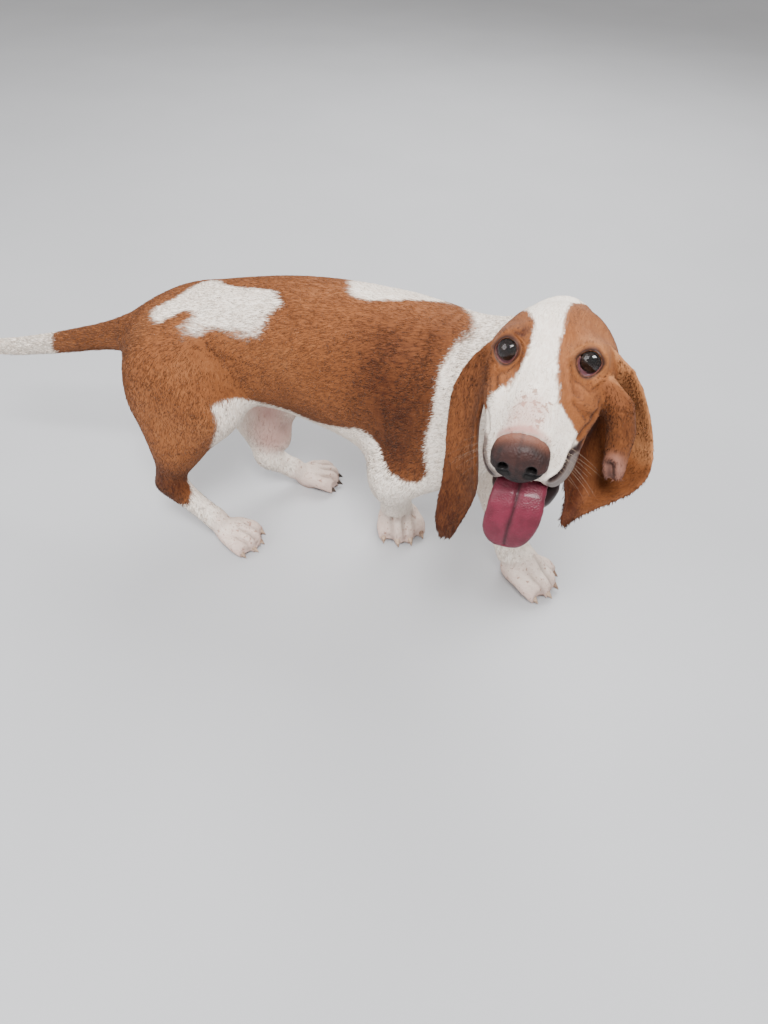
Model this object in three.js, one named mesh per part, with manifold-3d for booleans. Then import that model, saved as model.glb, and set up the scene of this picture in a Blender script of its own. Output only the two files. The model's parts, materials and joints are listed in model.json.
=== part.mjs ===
// Basset hound standing still with its head turned to its right, a life-size model.
// Millimetres. +X runs forward along the trunk, +Y to the animal's left, +Z up, paws on z = 0.
import * as THREE from "three";
import Module from "manifold-3d";

// Driving dimensions of the whole animal
const SEAM = 0.3;
const SEAT = 0.6;
const NEAR = 45;
const GRID_TRIES = 12;
const CUT_MARGIN = 1.7;
const FLOOR_Z = 0;
const TRUNK_POWER = 2.25;
const TRUNK_MID = 0.52;
const TRUNK_SLIM = { all: 0.04, below: 0.06, end: 0.5 };

// Trunk stations: x, centre y, top z, bottom z, half width
const TRUNK = [
  [-256, -38, 268, 236, 18],
  [-238, -37, 292, 206, 44],
  [-205, -35, 314, 192, 62],
  [-160, -34, 331, 190, 69],
  [-100, -33, 349, 194, 64],
  [-40, -31, 358, 186, 67],
  [20, -31, 358, 168, 76],
  [75, -33, 354, 144, 83],
  [120, -40, 350, 134, 82],
  [160, -54, 338, 142, 76],
  [192, -72, 318, 166, 60],
  [214, -84, 292, 204, 32],
];

// Neck stations: centre x, y, z, half width, half height up, half height down
const NECK = [
  [118, -38, 266, 70, 76, 78],
  [172, -66, 305, 61, 55, 68],
  [216, -98, 342, 53, 44, 58],
  [240, -130, 376, 45, 38, 50],
];

// Tail stations: centre x, y, z, radius
const TAIL = [
  [-222, -38, 282, 24],
  [-262, -40, 262, 19],
  [-310, -41, 246, 16.5],
  [-370, -41, 229, 14.5],
  [-430, -40, 213, 12.5],
  [-485, -38, 203, 10],
  [-528, -36, 200, 6.5],
];

// Head frame: origin midway between the eyeballs, local x to the nose, y to the left, z up
const HEAD_ORIGIN = [239, -210, 422];
const HEAD_YAW = -95.7;
const HEAD_PITCH = 10.5;
const HEAD_ROLL = 4.0;
const EYE_SPREAD = 32.8;
const EYE_RADIUS = 12;
const JAW = { hinge: [-24, 0, -74], tip: [66, 0, -98], thick: 25, thin: 16.5 };
const LID = { wide: 11.6, high: 10.6, roll: 2.9, out: 5.0, wrap: 1.5 };
const RING = { tube: 0.01, round: 6, sides: 14 };
const TOE = { root: 10.5, knuckle: 9.8, tip: 8.2 };
const CLAW = { long: 15, root: 3.8, waist: 0.8, tip: 1.0, midZ: 10.5, tipZ: 3.2, sides: 6 };
const NOSTRIL = { from: [125, 8.5, -44], to: [110, 12, -42], radius: 4.2 };
const NOSE_SHIFT = -2;

// Grid steps of the facets, one for each group of nodes
const CELL = {
  trunk: [28, 17, 17],
  neck: [18, 18, 18],
  thigh: [16, 16, 16.5],
  shank: [11, 9.6, 11],
  foreleg: [12.5, 12.5, 13],
  paw: [8, 8, 7.2],
  tail: [28, 10, 10],
  head: [8.4, 8.4, 8],
  jaw: [11.5, 11.5, 10],
  nose: [5.8, 5.6, 5.2],
  tip: [12, 6.6, 6.6],
};

const rad = (degrees) => (degrees * Math.PI) / 180;
const clamp = (v, lo, hi) => Math.max(lo, Math.min(hi, v));
const lerp = (a, b, t) => a + (b - a) * t;
const sub = (a, b) => [a[0] - b[0], a[1] - b[1], a[2] - b[2]];
const add = (a, b) => [a[0] + b[0], a[1] + b[1], a[2] + b[2]];
const scale = (a, s) => [a[0] * s, a[1] * s, a[2] * s];
const dot = (a, b) => a[0] * b[0] + a[1] * b[1] + a[2] * b[2];
const cross = (a, b) => [a[1] * b[2] - a[2] * b[1], a[2] * b[0] - a[0] * b[2], a[0] * b[1] - a[1] * b[0]];
const norm = (a) => Math.hypot(a[0], a[1], a[2]);
const unit = (a) => scale(a, 1 / (norm(a) || 1));

// Seeded draws for the small differences between like pieces
function makeRandom(seed) {
  let state = seed >>> 0;
  return () => {
    state = (Math.imul(state, 1664525) + 1013904223) >>> 0;
    return state / 4294967296;
  };
}

// Smooth union and smooth cut of two distance values
const blend = (a, b, k) => {
  const h = Math.max(k - Math.abs(a - b), 0) / k;
  return Math.min(a, b) - h * h * k * 0.25;
};
const carve = (a, b, k) => -blend(-a, b, k);

// A frame with an origin and three axes, used for the head and for each paw
function makeFrame(origin, yaw, pitch, roll) {
  const [a, b, c] = [rad(yaw), rad(pitch), rad(roll)];
  const forward = [Math.cos(b) * Math.cos(a), Math.cos(b) * Math.sin(a), Math.sin(b)];
  const flat = [-Math.sin(a), Math.cos(a), 0];
  const rise = cross(forward, flat);
  const left = add(scale(flat, Math.cos(c)), scale(rise, Math.sin(c)));
  const up = cross(forward, left);
  return {
    forward,
    left,
    up,
    out: (p) => add(origin, add(scale(forward, p[0]), add(scale(left, p[1]), scale(up, p[2])))),
    into: (p) => {
      const d = sub(p, origin);
      return [dot(d, forward), dot(d, left), dot(d, up)];
    },
  };
}

// Ellipsoid, turned about its own z axis by yaw and about its y axis by pitch
function ellipsoid(c, r, yaw = 0, pitch = 0) {
  const f = makeFrame(c, yaw, pitch, 0);
  return (p) => {
    const q = f.into(p);
    const k0 = Math.hypot(q[0] / r[0], q[1] / r[1], q[2] / r[2]);
    const k1 = Math.hypot(q[0] / (r[0] * r[0]), q[1] / (r[1] * r[1]), q[2] / (r[2] * r[2]));
    return k1 < 1e-9 ? -Math.min(r[0], r[1], r[2]) : (k0 * (k0 - 1)) / k1;
  };
}

// Tapered capsule between two balls
function taper(a, ra, b, rb) {
  const ba = sub(b, a);
  const l2 = dot(ba, ba);
  const rr = ra - rb;
  const a2 = l2 - rr * rr;
  const il2 = 1 / l2;
  return (p) => {
    const pa = sub(p, a);
    const y = dot(pa, ba);
    const z = y - l2;
    const w = sub(scale(pa, l2), scale(ba, y));
    const x2 = dot(w, w);
    const y2 = y * y * l2;
    const z2 = z * z * l2;
    const k = Math.sign(rr) * rr * rr * x2;
    if (Math.sign(z) * a2 * z2 > k) return Math.sqrt(x2 + z2) * il2 - rb;
    if (Math.sign(y) * a2 * y2 < k) return Math.sqrt(x2 + y2) * il2 - ra;
    return (Math.sqrt(x2 * a2 * il2) + y * rr) * il2 - ra;
  };
}

// Smooth curve through rows of numbers, sampled evenly between them
function curveThrough(rows, steps) {
  const out = [];
  const n = rows.length;
  for (let i = 0; i < n - 1; i++) {
    const p0 = rows[Math.max(i - 1, 0)];
    const p1 = rows[i];
    const p2 = rows[i + 1];
    const p3 = rows[Math.min(i + 2, n - 1)];
    for (let s = 0; s < steps; s++) {
      const t = s / steps;
      out.push(p1.map((_, k) => {
        const m1 = (p2[k] - p0[k]) * 0.5;
        const m2 = (p3[k] - p1[k]) * 0.5;
        const t2 = t * t;
        const t3 = t2 * t;
        return (2 * t3 - 3 * t2 + 1) * p1[k] + (t3 - 2 * t2 + t) * m1 + (3 * t2 - 2 * t3) * p2[k] + (t3 - t2) * m2;
      }));
    }
  }
  out.push([...rows[n - 1]]);
  return out;
}

// Tube with an oval section along a curve of rows: x, y, z, half width, half height up, half height down
function tube(rows, steps = 5) {
  const pts = curveThrough(rows, steps);
  const last = pts.length - 1;
  return (p) => {
    let best = Infinity;
    let at = 0;
    let part = 0;
    for (let i = 0; i < last; i++) {
      const a = pts[i];
      const b = pts[i + 1];
      const d = [b[0] - a[0], b[1] - a[1], b[2] - a[2]];
      const t = clamp(((p[0] - a[0]) * d[0] + (p[1] - a[1]) * d[1] + (p[2] - a[2]) * d[2]) / dot(d, d), 0, 1);
      const q = Math.hypot(p[0] - a[0] - d[0] * t, p[1] - a[1] - d[1] * t, p[2] - a[2] - d[2] * t);
      if (q < best) {
        best = q;
        at = i;
        part = t;
      }
    }
    const a = pts[at];
    const b = pts[at + 1];
    const c = a.map((v, k) => lerp(v, b[k], part));
    const tangent = unit(sub(b, a));
    const side = unit(cross([0, 0, 1], tangent));
    const up = cross(tangent, side);
    const q = sub(p, c);
    const u = dot(q, up);
    const w = dot(q, side);
    const v = dot(q, tangent);
    const high = u > 0 ? c[4] : c[5];
    const cap = Math.min(c[3], c[4]);
    return (Math.hypot(w / c[3], u / high, v / cap) - 1) * Math.min(c[3], high);
  };
}

// Trunk from its stations along x, with a squarish oval section that is a little narrower below
function trunkField() {
  const rows = curveThrough(TRUNK, 6);
  const first = rows[0];
  const final = rows[rows.length - 1];
  return (p) => {
    const x = clamp(p[0], first[0], final[0]);
    let i = 0;
    while (i < rows.length - 2 && rows[i + 1][0] < x) i++;
    const a = rows[i];
    const b = rows[i + 1];
    const t = clamp((x - a[0]) / (b[0] - a[0]), 0, 1);
    const [, cy, top, bottom, half] = a.map((v, k) => lerp(v, b[k], t));
    const mid = lerp(bottom, top, TRUNK_MID);
    const dz = p[2] - mid;
    const high = dz > 0 ? top - mid : mid - bottom;
    const egg = half * (1 - TRUNK_SLIM.all - TRUNK_SLIM.below * clamp(-dz / high, -1, 1));
    const over = p[0] - x;
    const r = Math.pow(
      Math.pow(Math.abs(p[1] - cy) / egg, TRUNK_POWER) + Math.pow(Math.abs(dz) / high, TRUNK_POWER),
      1 / TRUNK_POWER,
    );
    const size = Math.min(half, high);
    return Math.hypot(r, over / (size * TRUNK_SLIM.end)) * size - size;
  };
}

// Union of many fields with one blend radius
const melt = (k, ...fields) => (p) => {
  let d = fields[0](p);
  for (let i = 1; i < fields.length; i++) d = blend(d, fields[i](p), k);
  return d;
};

// Hind limbs: hip, stifle, hock and paw of the right and the left side
const HIND = {
  right: {
    hip: [-186, -72, 256], knee: [-136, -92, 208], ham: [-208, -84, 222], calf: [-188, -101, 146],
    hock: [-207, -109, 84], heel: [-219, -110, 86], ankle: [-146, -113, 34], paw: [-118, -114, 0], turn: -12,
  },
  left: {
    hip: [-178, 2, 258], knee: [-88, 14, 172], ham: [-196, 12, 220], calf: [-120, 7, 122],
    hock: [-112, -3, 64], heel: [-118, -5, 67], ankle: [-78, 16, 32], paw: [-48, 30, 0], turn: 14,
    lobe: { top: [-111, 4, 137], foot: [-85, 1, 97], thick: 28, thin: 16 },
  },
};

// Radii of the hind limb's forms, and the blend between them
const HIND_FORM = {
  hip: 58, knee: 38, ham: 44, calf: 31, shin: 33, calfLow: 27, hockTop: 15, hock: 16, heel: 12, ankle: 15.5,
  soft: 16,
};

function hindField(s) {
  const f = HIND_FORM;
  const lift = (q, dz) => [q[0], q[1], q[2] + dz];
  const lobe = s.lobe ? [taper(s.lobe.top, s.lobe.thick, s.lobe.foot, s.lobe.thin)] : [];
  return melt(
    f.soft,
    ...lobe,
    taper(s.hip, f.hip, s.knee, f.knee),
    taper(s.ham, f.ham, s.calf, f.calf),
    taper(lift(s.knee, -4), f.shin, s.calf, f.calf - 1),
    taper(s.calf, f.calfLow, lift(s.hock, 6), f.hockTop),
    taper(lift(s.hock, 2), f.hock, s.heel, f.heel),
    taper(s.hock, f.hock, s.ankle, f.ankle),
  );
}

// Fore limbs: shoulder point, elbow, wrist and paw
const FORE = {
  right: {
    blade: [120, -92, 268], point: [158, -106, 212], elbow: [92, -98, 160], low: [92, -92, 138],
    wrist: [86, -40, 56], paw: [90, -30, 0], turn: -66,
  },
  left: {
    blade: [138, 2, 262], point: [186, -2, 208], elbow: [178, 12, 156], low: [186, 6, 140],
    wrist: [246, -76, 52], paw: [276, -84, 0], turn: -22,
  },
};

// Radii of the fore limb's forms, and the blend between them
const FORE_FORM = {
  blade: [38, 26, 74], bladeTilt: 18, point: 36, elbow: 34, upper: 30, low: 27, fore: 26, wrist: 19.5, pastern: 19,
  pasternZ: 30, soft: 14,
};

function foreField(s) {
  const f = FORE_FORM;
  return melt(
    f.soft,
    ellipsoid(s.blade, f.blade, 0, f.bladeTilt),
    taper(s.point, f.point, s.elbow, f.elbow),
    taper(s.elbow, f.upper, s.low, f.low),
    taper(s.low, f.fore, s.wrist, f.wrist),
    taper(s.wrist, f.wrist + 0.5, [s.paw[0], s.paw[1], f.pasternZ], f.pastern),
  );
}

// Paw: a low pad with four arched toes that spread, in a frame turned on the floor
function pawShape(s, size) {
  const f = makeFrame(s.paw, s.turn, 0, 0);
  const at = (x, y, z) => f.out([x * size, y * size, z * size]);
  const toes = [-1.5, -0.5, 0.5, 1.5].map((k) => {
    const reach = Math.abs(k) > 1 ? 24 : 34;
    const root = at(-8, k * 12, 20);
    const knuckle = at(reach - 13, k * 15.5, Math.abs(k) > 1 ? 16 : 19);
    const tip = at(reach, k * 17.5, 8.5);
    return { k, root, knuckle, tip, reach };
  });
  const body = melt(
    8,
    ellipsoid(at(-10, 0, 17), [27 * size, 23 * size, 18 * size], s.turn),
    taper(at(-22, 0, 12), 13 * size, at(-14, 0, 12), 16 * size),
  );
  const digits = toes.map((t) => melt(
    4,
    taper(t.root, TOE.root * size, t.knuckle, TOE.knuckle * size),
    taper(t.knuckle, TOE.knuckle * size, t.tip, TOE.tip * size),
  ));
  const field = (p) => {
    let d = Infinity;
    for (const g of digits) d = Math.min(d, g(p));
    return blend(body(p), d, 5);
  };
  const reach = 48 * size;
  const lo = [s.paw[0] - reach, s.paw[1] - reach, -20];
  const hi = [s.paw[0] + reach, s.paw[1] + reach, 45 * size];
  return { field: within(lo, hi, field), toes, frame: f, at, size };
}

const HEAD = makeFrame(HEAD_ORIGIN, HEAD_YAW, HEAD_PITCH, HEAD_ROLL);

// Forms of the head in its own frame: centre, half sizes, turn and blend; those off the middle are on both sides
const HEAD_FORMS = [
  { name: "nape", at: [-90, 0, 2], size: [18, 22, 20], soft: 16 },
  { name: "brow", at: [-4, 27, 8], size: [15, 16, 10], turn: 20, soft: 12 },
  { name: "temple", at: [-16, 36.5, -10], size: [24, 14, 17], soft: 14 },
  { name: "cheek", at: [-36, 36, -28], size: [34, 17, 26], soft: 18 },
  { name: "muzzle side", at: [16, 30, -33], size: [33, 16, 22], soft: 14 },
  { name: "flew", at: [56, 22, -56], size: [41, 15, 25], turn: -5, soft: 12 },
  { name: "throat", at: [-48, 0, -56], size: [42, 31, 34], soft: 16 },
];
const SKULL = { at: [-42, 0, -6], size: [52, 46, 33] };
const BRIDGE = {
  top: [[0, 0, -18], 25, [88, 0, -36], 20],
  low: [[40, 0, -36], 24, [92, 0, -44], 19],
  inner: 12,
  soft: 18,
};
const STOP = { at: [14, 0, 19], size: [26, 18, 13], soft: 16 };
const MOUTH = { at: [52, 0, -76], size: [50, 18, 22], pitch: 6, soft: 5 };

// Head: skull, brows, cheeks, bridge and hanging upper lips round the open mouth
function headField() {
  const skull = ellipsoid(SKULL.at, SKULL.size);
  const bridge = melt(BRIDGE.inner, taper(...BRIDGE.top), taper(...BRIDGE.low));
  const forms = HEAD_FORMS.flatMap(({ at, size, turn = 0, soft }) => {
    const sides = at[1] ? [-1, 1] : [1];
    return sides.map((s) => ({ field: ellipsoid([at[0], s * at[1], at[2]], size, s * turn), soft }));
  });
  const stop = ellipsoid(STOP.at, STOP.size);
  const mouth = ellipsoid(MOUTH.at, MOUTH.size, 0, MOUTH.pitch);
  return (p) => {
    let d = blend(skull(p), bridge(p), BRIDGE.soft);
    for (const form of forms) d = blend(d, form.field(p), form.soft);
    d = carve(d, stop(p), STOP.soft);
    return carve(d, mouth(p), MOUTH.soft);
  };
}

// Lower jaw, dropped open, with its rolled lips
function jawField() {
  const rise = JAW.tip[2] - JAW.hinge[2];
  const back = JAW.hinge[2] + rise * 0.25 + 6;
  const lip = (s) => taper([4, s * 20, back], 8, [62, s * 15, JAW.tip[2] + 9], 7);
  return melt(8, taper(JAW.hinge, JAW.thick, JAW.tip, JAW.thin), lip(-1), lip(1));
}

// Nose pad with a blunt front
function noseField() {
  const pad = melt(
    7,
    ellipsoid([106, NOSE_SHIFT, -34.5], [14, 21.5, 13]),
    ellipsoid([105, NOSE_SHIFT, -48], [12, 15, 12]),
  );
  const wings = [-1, 1].map((s) => ellipsoid([110, s * 13 + NOSE_SHIFT, -42], [8.5, 8.5, 10.5]));
  return melt(4, pad, ...wings);
}

// Field that is only worked out near its own box, and falls back on the distance to the box beyond
function within(lo, hi, field) {
  return (p) => {
    const dx = Math.max(lo[0] - p[0], 0, p[0] - hi[0]);
    const dy = Math.max(lo[1] - p[1], 0, p[1] - hi[1]);
    const dz = Math.max(lo[2] - p[2], 0, p[2] - hi[2]);
    const far = Math.hypot(dx, dy, dz);
    return far > NEAR ? far : field(p);
  };
}

const trunk = trunkField();
const neck = within([40, -200, 180], [300, 50, 450], tube(NECK));
const tailTube = tube(TAIL.map(([x, y, z, r]) => [x, y, z, r, r, r]));
const tail = within([-540, -70, 185], [-190, -5, 310], tailTube);
const headLocal = headField();
const head = within([160, -350, 310], [320, -90, 480], (p) => headLocal(HEAD.into(p)));
const hind = {
  right: within([-260, -140, 10], [-80, -10, 320], hindField(HIND.right)),
  left: within([-250, -30, 10], [-30, 65, 320], hindField(HIND.left)),
};
const fore = {
  right: within([50, -140, 10], [200, -5, 345], foreField(FORE.right)),
  left: within([80, -110, 10], [290, 60, 345], foreField(FORE.left)),
};
const paws = {
  hind_right: pawShape(HIND.right, 0.9),
  hind_left: pawShape(HIND.left, 0.9),
  fore_right: pawShape(FORE.right, 1.02),
  fore_left: pawShape(FORE.left, 1.05),
};

// The flesh of the whole animal as one field
function flesh(p) {
  let d = trunk(p);
  d = blend(d, neck(p), 26);
  d = blend(d, hind.right(p), 22);
  d = blend(d, hind.left(p), 22);
  d = blend(d, fore.right(p), 22);
  d = blend(d, fore.left(p), 22);
  for (const k of Object.keys(paws)) d = blend(d, paws[k].field(p), 9);
  d = blend(d, tail(p), 18);
  d = blend(d, head(p), 22);
  return d;
}

// Closed facets of a field inside a box, by one vertex in each crossed cell moved on to the surface
function facets(field, lo, hi, cell) {
  const n = [0, 1, 2].map((k) => Math.max(2, Math.ceil((hi[k] - lo[k]) / cell[k])));
  const step = [0, 1, 2].map((k) => (hi[k] - lo[k]) / n[k]);
  const [nx, ny, nz] = n.map((v) => v + 1);
  const index = (i, j, k) => (k * ny + j) * nx + i;
  const value = new Float64Array(nx * ny * nz);
  for (let k = 0; k < nz; k++) {
    for (let j = 0; j < ny; j++) {
      for (let i = 0; i < nx; i++) {
        const edge = i === 0 || j === 0 || k === 0 || i === nx - 1 || j === ny - 1 || k === nz - 1;
        const v = field([lo[0] + i * step[0], lo[1] + j * step[1], lo[2] + k * step[2]]);
        value[index(i, j, k)] = edge ? Math.max(v, 0.25 * cell[0]) : v;
      }
    }
  }
  // One vertex for each sheet that passes through a cell, found by pairing crossed edges on its faces
  const ids = new Int32Array(12 * nx * ny * nz).fill(-1);
  const verts = [];
  const corner = (i, j, k, axis, side, u, w) => {
    const c = [i, j, k];
    c[axis] += side;
    c[(axis + 1) % 3] += u;
    c[(axis + 2) % 3] += w;
    return value[index(...c)];
  };
  const edgeId = (axis, first, second) => axis * 4 + first + 2 * second;
  for (let k = 0; k < nz - 1; k++) {
    for (let j = 0; j < ny - 1; j++) {
      for (let i = 0; i < nx - 1; i++) {
        const crossing = new Map();
        for (let axis = 0; axis < 3; axis++) {
          for (let c = 0; c < 4; c++) {
            const va = corner(i, j, k, axis, 0, c & 1, c >> 1);
            const vb = corner(i, j, k, axis, 1, c & 1, c >> 1);
            if (va < 0 === vb < 0) continue;
            const at = [0, 0, 0];
            at[axis] = va / (va - vb);
            at[(axis + 1) % 3] = c & 1;
            at[(axis + 2) % 3] = c >> 1;
            crossing.set(axis * 4 + c, { at, group: axis * 4 + c });
          }
        }
        if (!crossing.size) continue;
        const join = (a, b) => {
          const [ga, gb] = [crossing.get(a).group, crossing.get(b).group];
          for (const e of crossing.values()) if (e.group === gb) e.group = ga;
        };
        for (let axis = 0; axis < 3; axis++) {
          const [u, w] = [(axis + 1) % 3, (axis + 2) % 3];
          for (let side = 0; side < 2; side++) {
            const v = [corner(i, j, k, axis, side, 0, 0), corner(i, j, k, axis, side, 1, 0),
              corner(i, j, k, axis, side, 0, 1), corner(i, j, k, axis, side, 1, 1)];
            const along = [edgeId(u, 0, side), edgeId(u, 1, side), edgeId(w, side, 0), edgeId(w, side, 1)];
            const crossed = along.filter((e) => crossing.has(e));
            if (crossed.length === 2) join(crossed[0], crossed[1]);
            if (crossed.length !== 4) continue;
            const centerIn = v[0] + v[1] + v[2] + v[3] < 0;
            if (v[0] < 0 === centerIn) {
              join(along[0], along[3]);
              join(along[1], along[2]);
            } else {
              join(along[0], along[2]);
              join(along[1], along[3]);
            }
          }
        }
        for (const group of new Set([...crossing.values()].map((e) => e.group))) {
          const members = [...crossing].filter(([, e]) => e.group === group);
          const mean = [0, 1, 2].map((m) => members.reduce((t, [, e]) => t + e.at[m], 0) / members.length);
          for (const [e] of members) ids[12 * index(i, j, k) + e] = verts.length;
          verts.push([i, j, k].map((cellAt, m) => lo[m] + (cellAt + mean[m]) * step[m]));
        }
      }
    }
  }
  const quads = [];
  const ringSteps = [[0, 0], [1, 0], [1, 1], [0, 1]];
  for (let k = 0; k < nz - 1; k++) {
    for (let j = 0; j < ny - 1; j++) {
      for (let i = 0; i < nx - 1; i++) {
        const v = value[index(i, j, k)];
        for (let axis = 0; axis < 3; axis++) {
          const e = [i, j, k];
          if (e[(axis + 1) % 3] === 0 || e[(axis + 2) % 3] === 0) continue;
          e[axis] += 1;
          const w = value[index(...e)];
          if (v < 0 === w < 0) continue;
          const ring = ringSteps.map(([first, second]) => {
            const c = [i, j, k];
            c[(axis + 1) % 3] -= first;
            c[(axis + 2) % 3] -= second;
            return ids[12 * index(...c) + edgeId(axis, first, second)];
          });
          quads.push(v < 0 ? ring : ring.reverse());
        }
      }
    }
  }
  return { verts, quads };
}

const slope = (field, p, e) => [
  (field([p[0] + e, p[1], p[2]]) - field([p[0] - e, p[1], p[2]])) / (2 * e),
  (field([p[0], p[1] + e, p[2]]) - field([p[0], p[1] - e, p[2]])) / (2 * e),
  (field([p[0], p[1], p[2] + e]) - field([p[0], p[1], p[2] - e])) / (2 * e),
];

// Two rounds that even out the vertices along the surface and put them back on it
function settle(mesh, field, cell) {
  const reach = Math.min(...cell) * 0.5;
  const { verts, quads } = mesh;
  const near = verts.map(() => new Set());
  for (const q of quads) {
    for (let i = 0; i < 4; i++) {
      near[q[i]].add(q[(i + 1) % 4]);
      near[q[(i + 1) % 4]].add(q[i]);
    }
  }
  const project = (p) => {
    let q = p;
    for (let i = 0; i < 3; i++) {
      const d = field(q);
      const g = slope(field, q, 0.4);
      const g2 = Math.max(dot(g, g), 0.05);
      const move = scale(g, -d / g2);
      const len = norm(move);
      q = add(q, len > reach ? scale(move, reach / len) : move);
    }
    return q;
  };
  let points = verts.map(project);
  for (let round = 0; round < 2; round++) {
    points = points.map((p, i) => {
      const mean = [0, 0, 0];
      for (const j of near[i]) for (let m = 0; m < 3; m++) mean[m] += points[j][m] / near[i].size;
      return project(add(scale(p, 0.5), scale(mean, 0.5)));
    });
  }
  return { verts: points, quads };
}

const wasm = await Module();
wasm.setup();

// Solid from plain vertices and triangles
function solidOf(verts, tris) {
  return new wasm.Manifold(new wasm.Mesh({
    numProp: 3,
    vertProperties: Float32Array.from(verts.flat()),
    triVerts: Uint32Array.from(tris.flat()),
  }));
}

function facingOut(verts, tris) {
  const solid = solidOf(verts, tris);
  return solid.volume() > 0 ? solid : solidOf(verts, tris.map(([a, b, c]) => [a, c, b]));
}

function quadTriangles(mesh) {
  const tris = [];
  const len = (a, b) => norm(sub(mesh.verts[a], mesh.verts[b]));
  for (const [a, b, c, d] of mesh.quads) {
    if (len(a, c) < len(b, d)) tris.push([a, b, c], [a, c, d]);
    else tris.push([a, b, d], [b, c, d]);
  }
  return tris;
}

// Whether any directed edge is used twice, which happens where two sheets share a cell
function hasSharedEdges(tris) {
  const seen = new Set();
  for (const t of tris) {
    for (let k = 0; k < 3; k++) {
      const key = t[k] * 1048576 + t[(k + 1) % 3];
      if (seen.has(key)) return true;
      seen.add(key);
    }
  }
  return false;
}

// The grid is moved a little until no two sheets share an edge
function fieldSolid(field, lo, hi, cell) {
  for (let tries = 0; tries < GRID_TRIES; tries++) {
    const nudge = cell.map((c, k) => c * 0.17 * tries * (k + 1));
    const mesh = settle(facets(field, sub(lo, nudge), sub(hi, nudge), cell), field, cell);
    const tris = quadTriangles(mesh);
    if (!hasSharedEdges(tris)) return largest(solidOf(mesh.verts, tris));
  }
  throw new Error(`no clean grid found for a field in ${lo} to ${hi}`);
}

// Only the largest closed surface of a solid
function largest(solid) {
  const parts = solid.decompose();
  return parts.reduce((a, b) => (b.volume() > a.volume() ? b : a));
}

// Solid from a closed geometry after a move
function geometrySolid(geometry, matrix) {
  const g = geometry.clone().applyMatrix4(matrix);
  const seen = new Map();
  const verts = [];
  const pos = g.attributes.position;
  const remap = [];
  for (let i = 0; i < pos.count; i++) {
    const p = [pos.getX(i), pos.getY(i), pos.getZ(i)];
    const key = p.map((v) => Math.round(v * 1e4)).join(",");
    if (!seen.has(key)) {
      seen.set(key, verts.length);
      verts.push(p);
    }
    remap.push(seen.get(key));
  }
  const tris = [];
  const idx = g.index ? Array.from(g.index.array) : [...Array(pos.count).keys()];
  for (let i = 0; i < idx.length; i += 3) {
    const t = [remap[idx[i]], remap[idx[i + 1]], remap[idx[i + 2]]];
    if (t[0] !== t[1] && t[1] !== t[2] && t[0] !== t[2]) tris.push(t);
  }
  return facingOut(verts, tris);
}

// Box with its own axes: origin at the middle of its near face, z axis along its length
function blockFrom(origin, axis, sideHint, width, depth, length) {
  const z = unit(axis);
  const y = unit(cross(z, sideHint));
  const x = cross(y, z);
  const axes = [x, y, z].map((v) => new THREE.Vector3(...v));
  const m = new THREE.Matrix4().makeBasis(...axes);
  const c = add(origin, scale(z, length / 2));
  m.setPosition(...c);
  return geometrySolid(new THREE.BoxGeometry(width, depth, length), m);
}

// Ear rows from root to tip: rear edge x, y, z, front edge x, y, z, bulge away from the head
const EAR_ROWS = {
  right: [
    [188, -192, 416, 195, -227, 408, 2],
    [176, -190, 401, 191, -230, 390, 8],
    [162, -192, 373, 189, -232, 367, 12],
    [158, -195, 342, 189, -234, 341, 13],
    [160, -202, 297, 196, -243, 299, 13],
    [160, -210, 252, 197, -230, 266, 10],
    [158, -216, 218, 186, -232, 227, 6],
    [167, -223, 198, 180, -228, 202, 2],
  ],
  left: [
    [277, -197, 434, 284, -221, 409, -6],
    [303, -204, 421, 289, -227, 393, -16],
    [322, -207, 395, 286, -219, 366, -24],
    [338, -216, 359, 276, -217, 343, -28],
    [343, -227, 336, 270, -224, 328, -28],
    [334, -238, 317, 271, -235, 316, -22],
    [307, -247, 300, 276, -246, 304, -12],
    [288, -257, 289, 276, -256, 293, -4],
    [281, -264, 282, 275, -262, 286, -1],
  ],
};
const EAR = { along: 13, across: 6, thick: 5.4, edge: 3.4 };

// Front margin of the left ear, rolled into a cup: its line, radii and hollow
const EAR_ROLL = {
  line: [[284, -219, 410], [301, -227, 393], [308, -229, 370], [309, -235, 349], [311, -244, 334]],
  radii: [9, 13, 13, 11, 9],
  sides: 10,
  hollow: 0.55,
};

// Tongue rows in the head frame, from inside the mouth over the lower lip to the hanging tip
const TONGUE_ROWS = [
  [14, -15, -70, 14, 15, -70, -3],
  [46, -17, -71, 46, 17, -71, -3],
  [74, -19, -73, 74, 19, -73, -4],
  [90, -22, -81, 90, 20, -81, -3],
  [96, -24, -96, 96, 20, -96, -2],
  [98, -25, -110, 98, 16, -110, -1.5],
  [97, -20, -121, 97, 9, -121, -1],
  [96, -12, -125, 96, 0, -125, 0],
];
const TONGUE = { along: 14, across: 6, thick: 8, edge: 4 };

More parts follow.
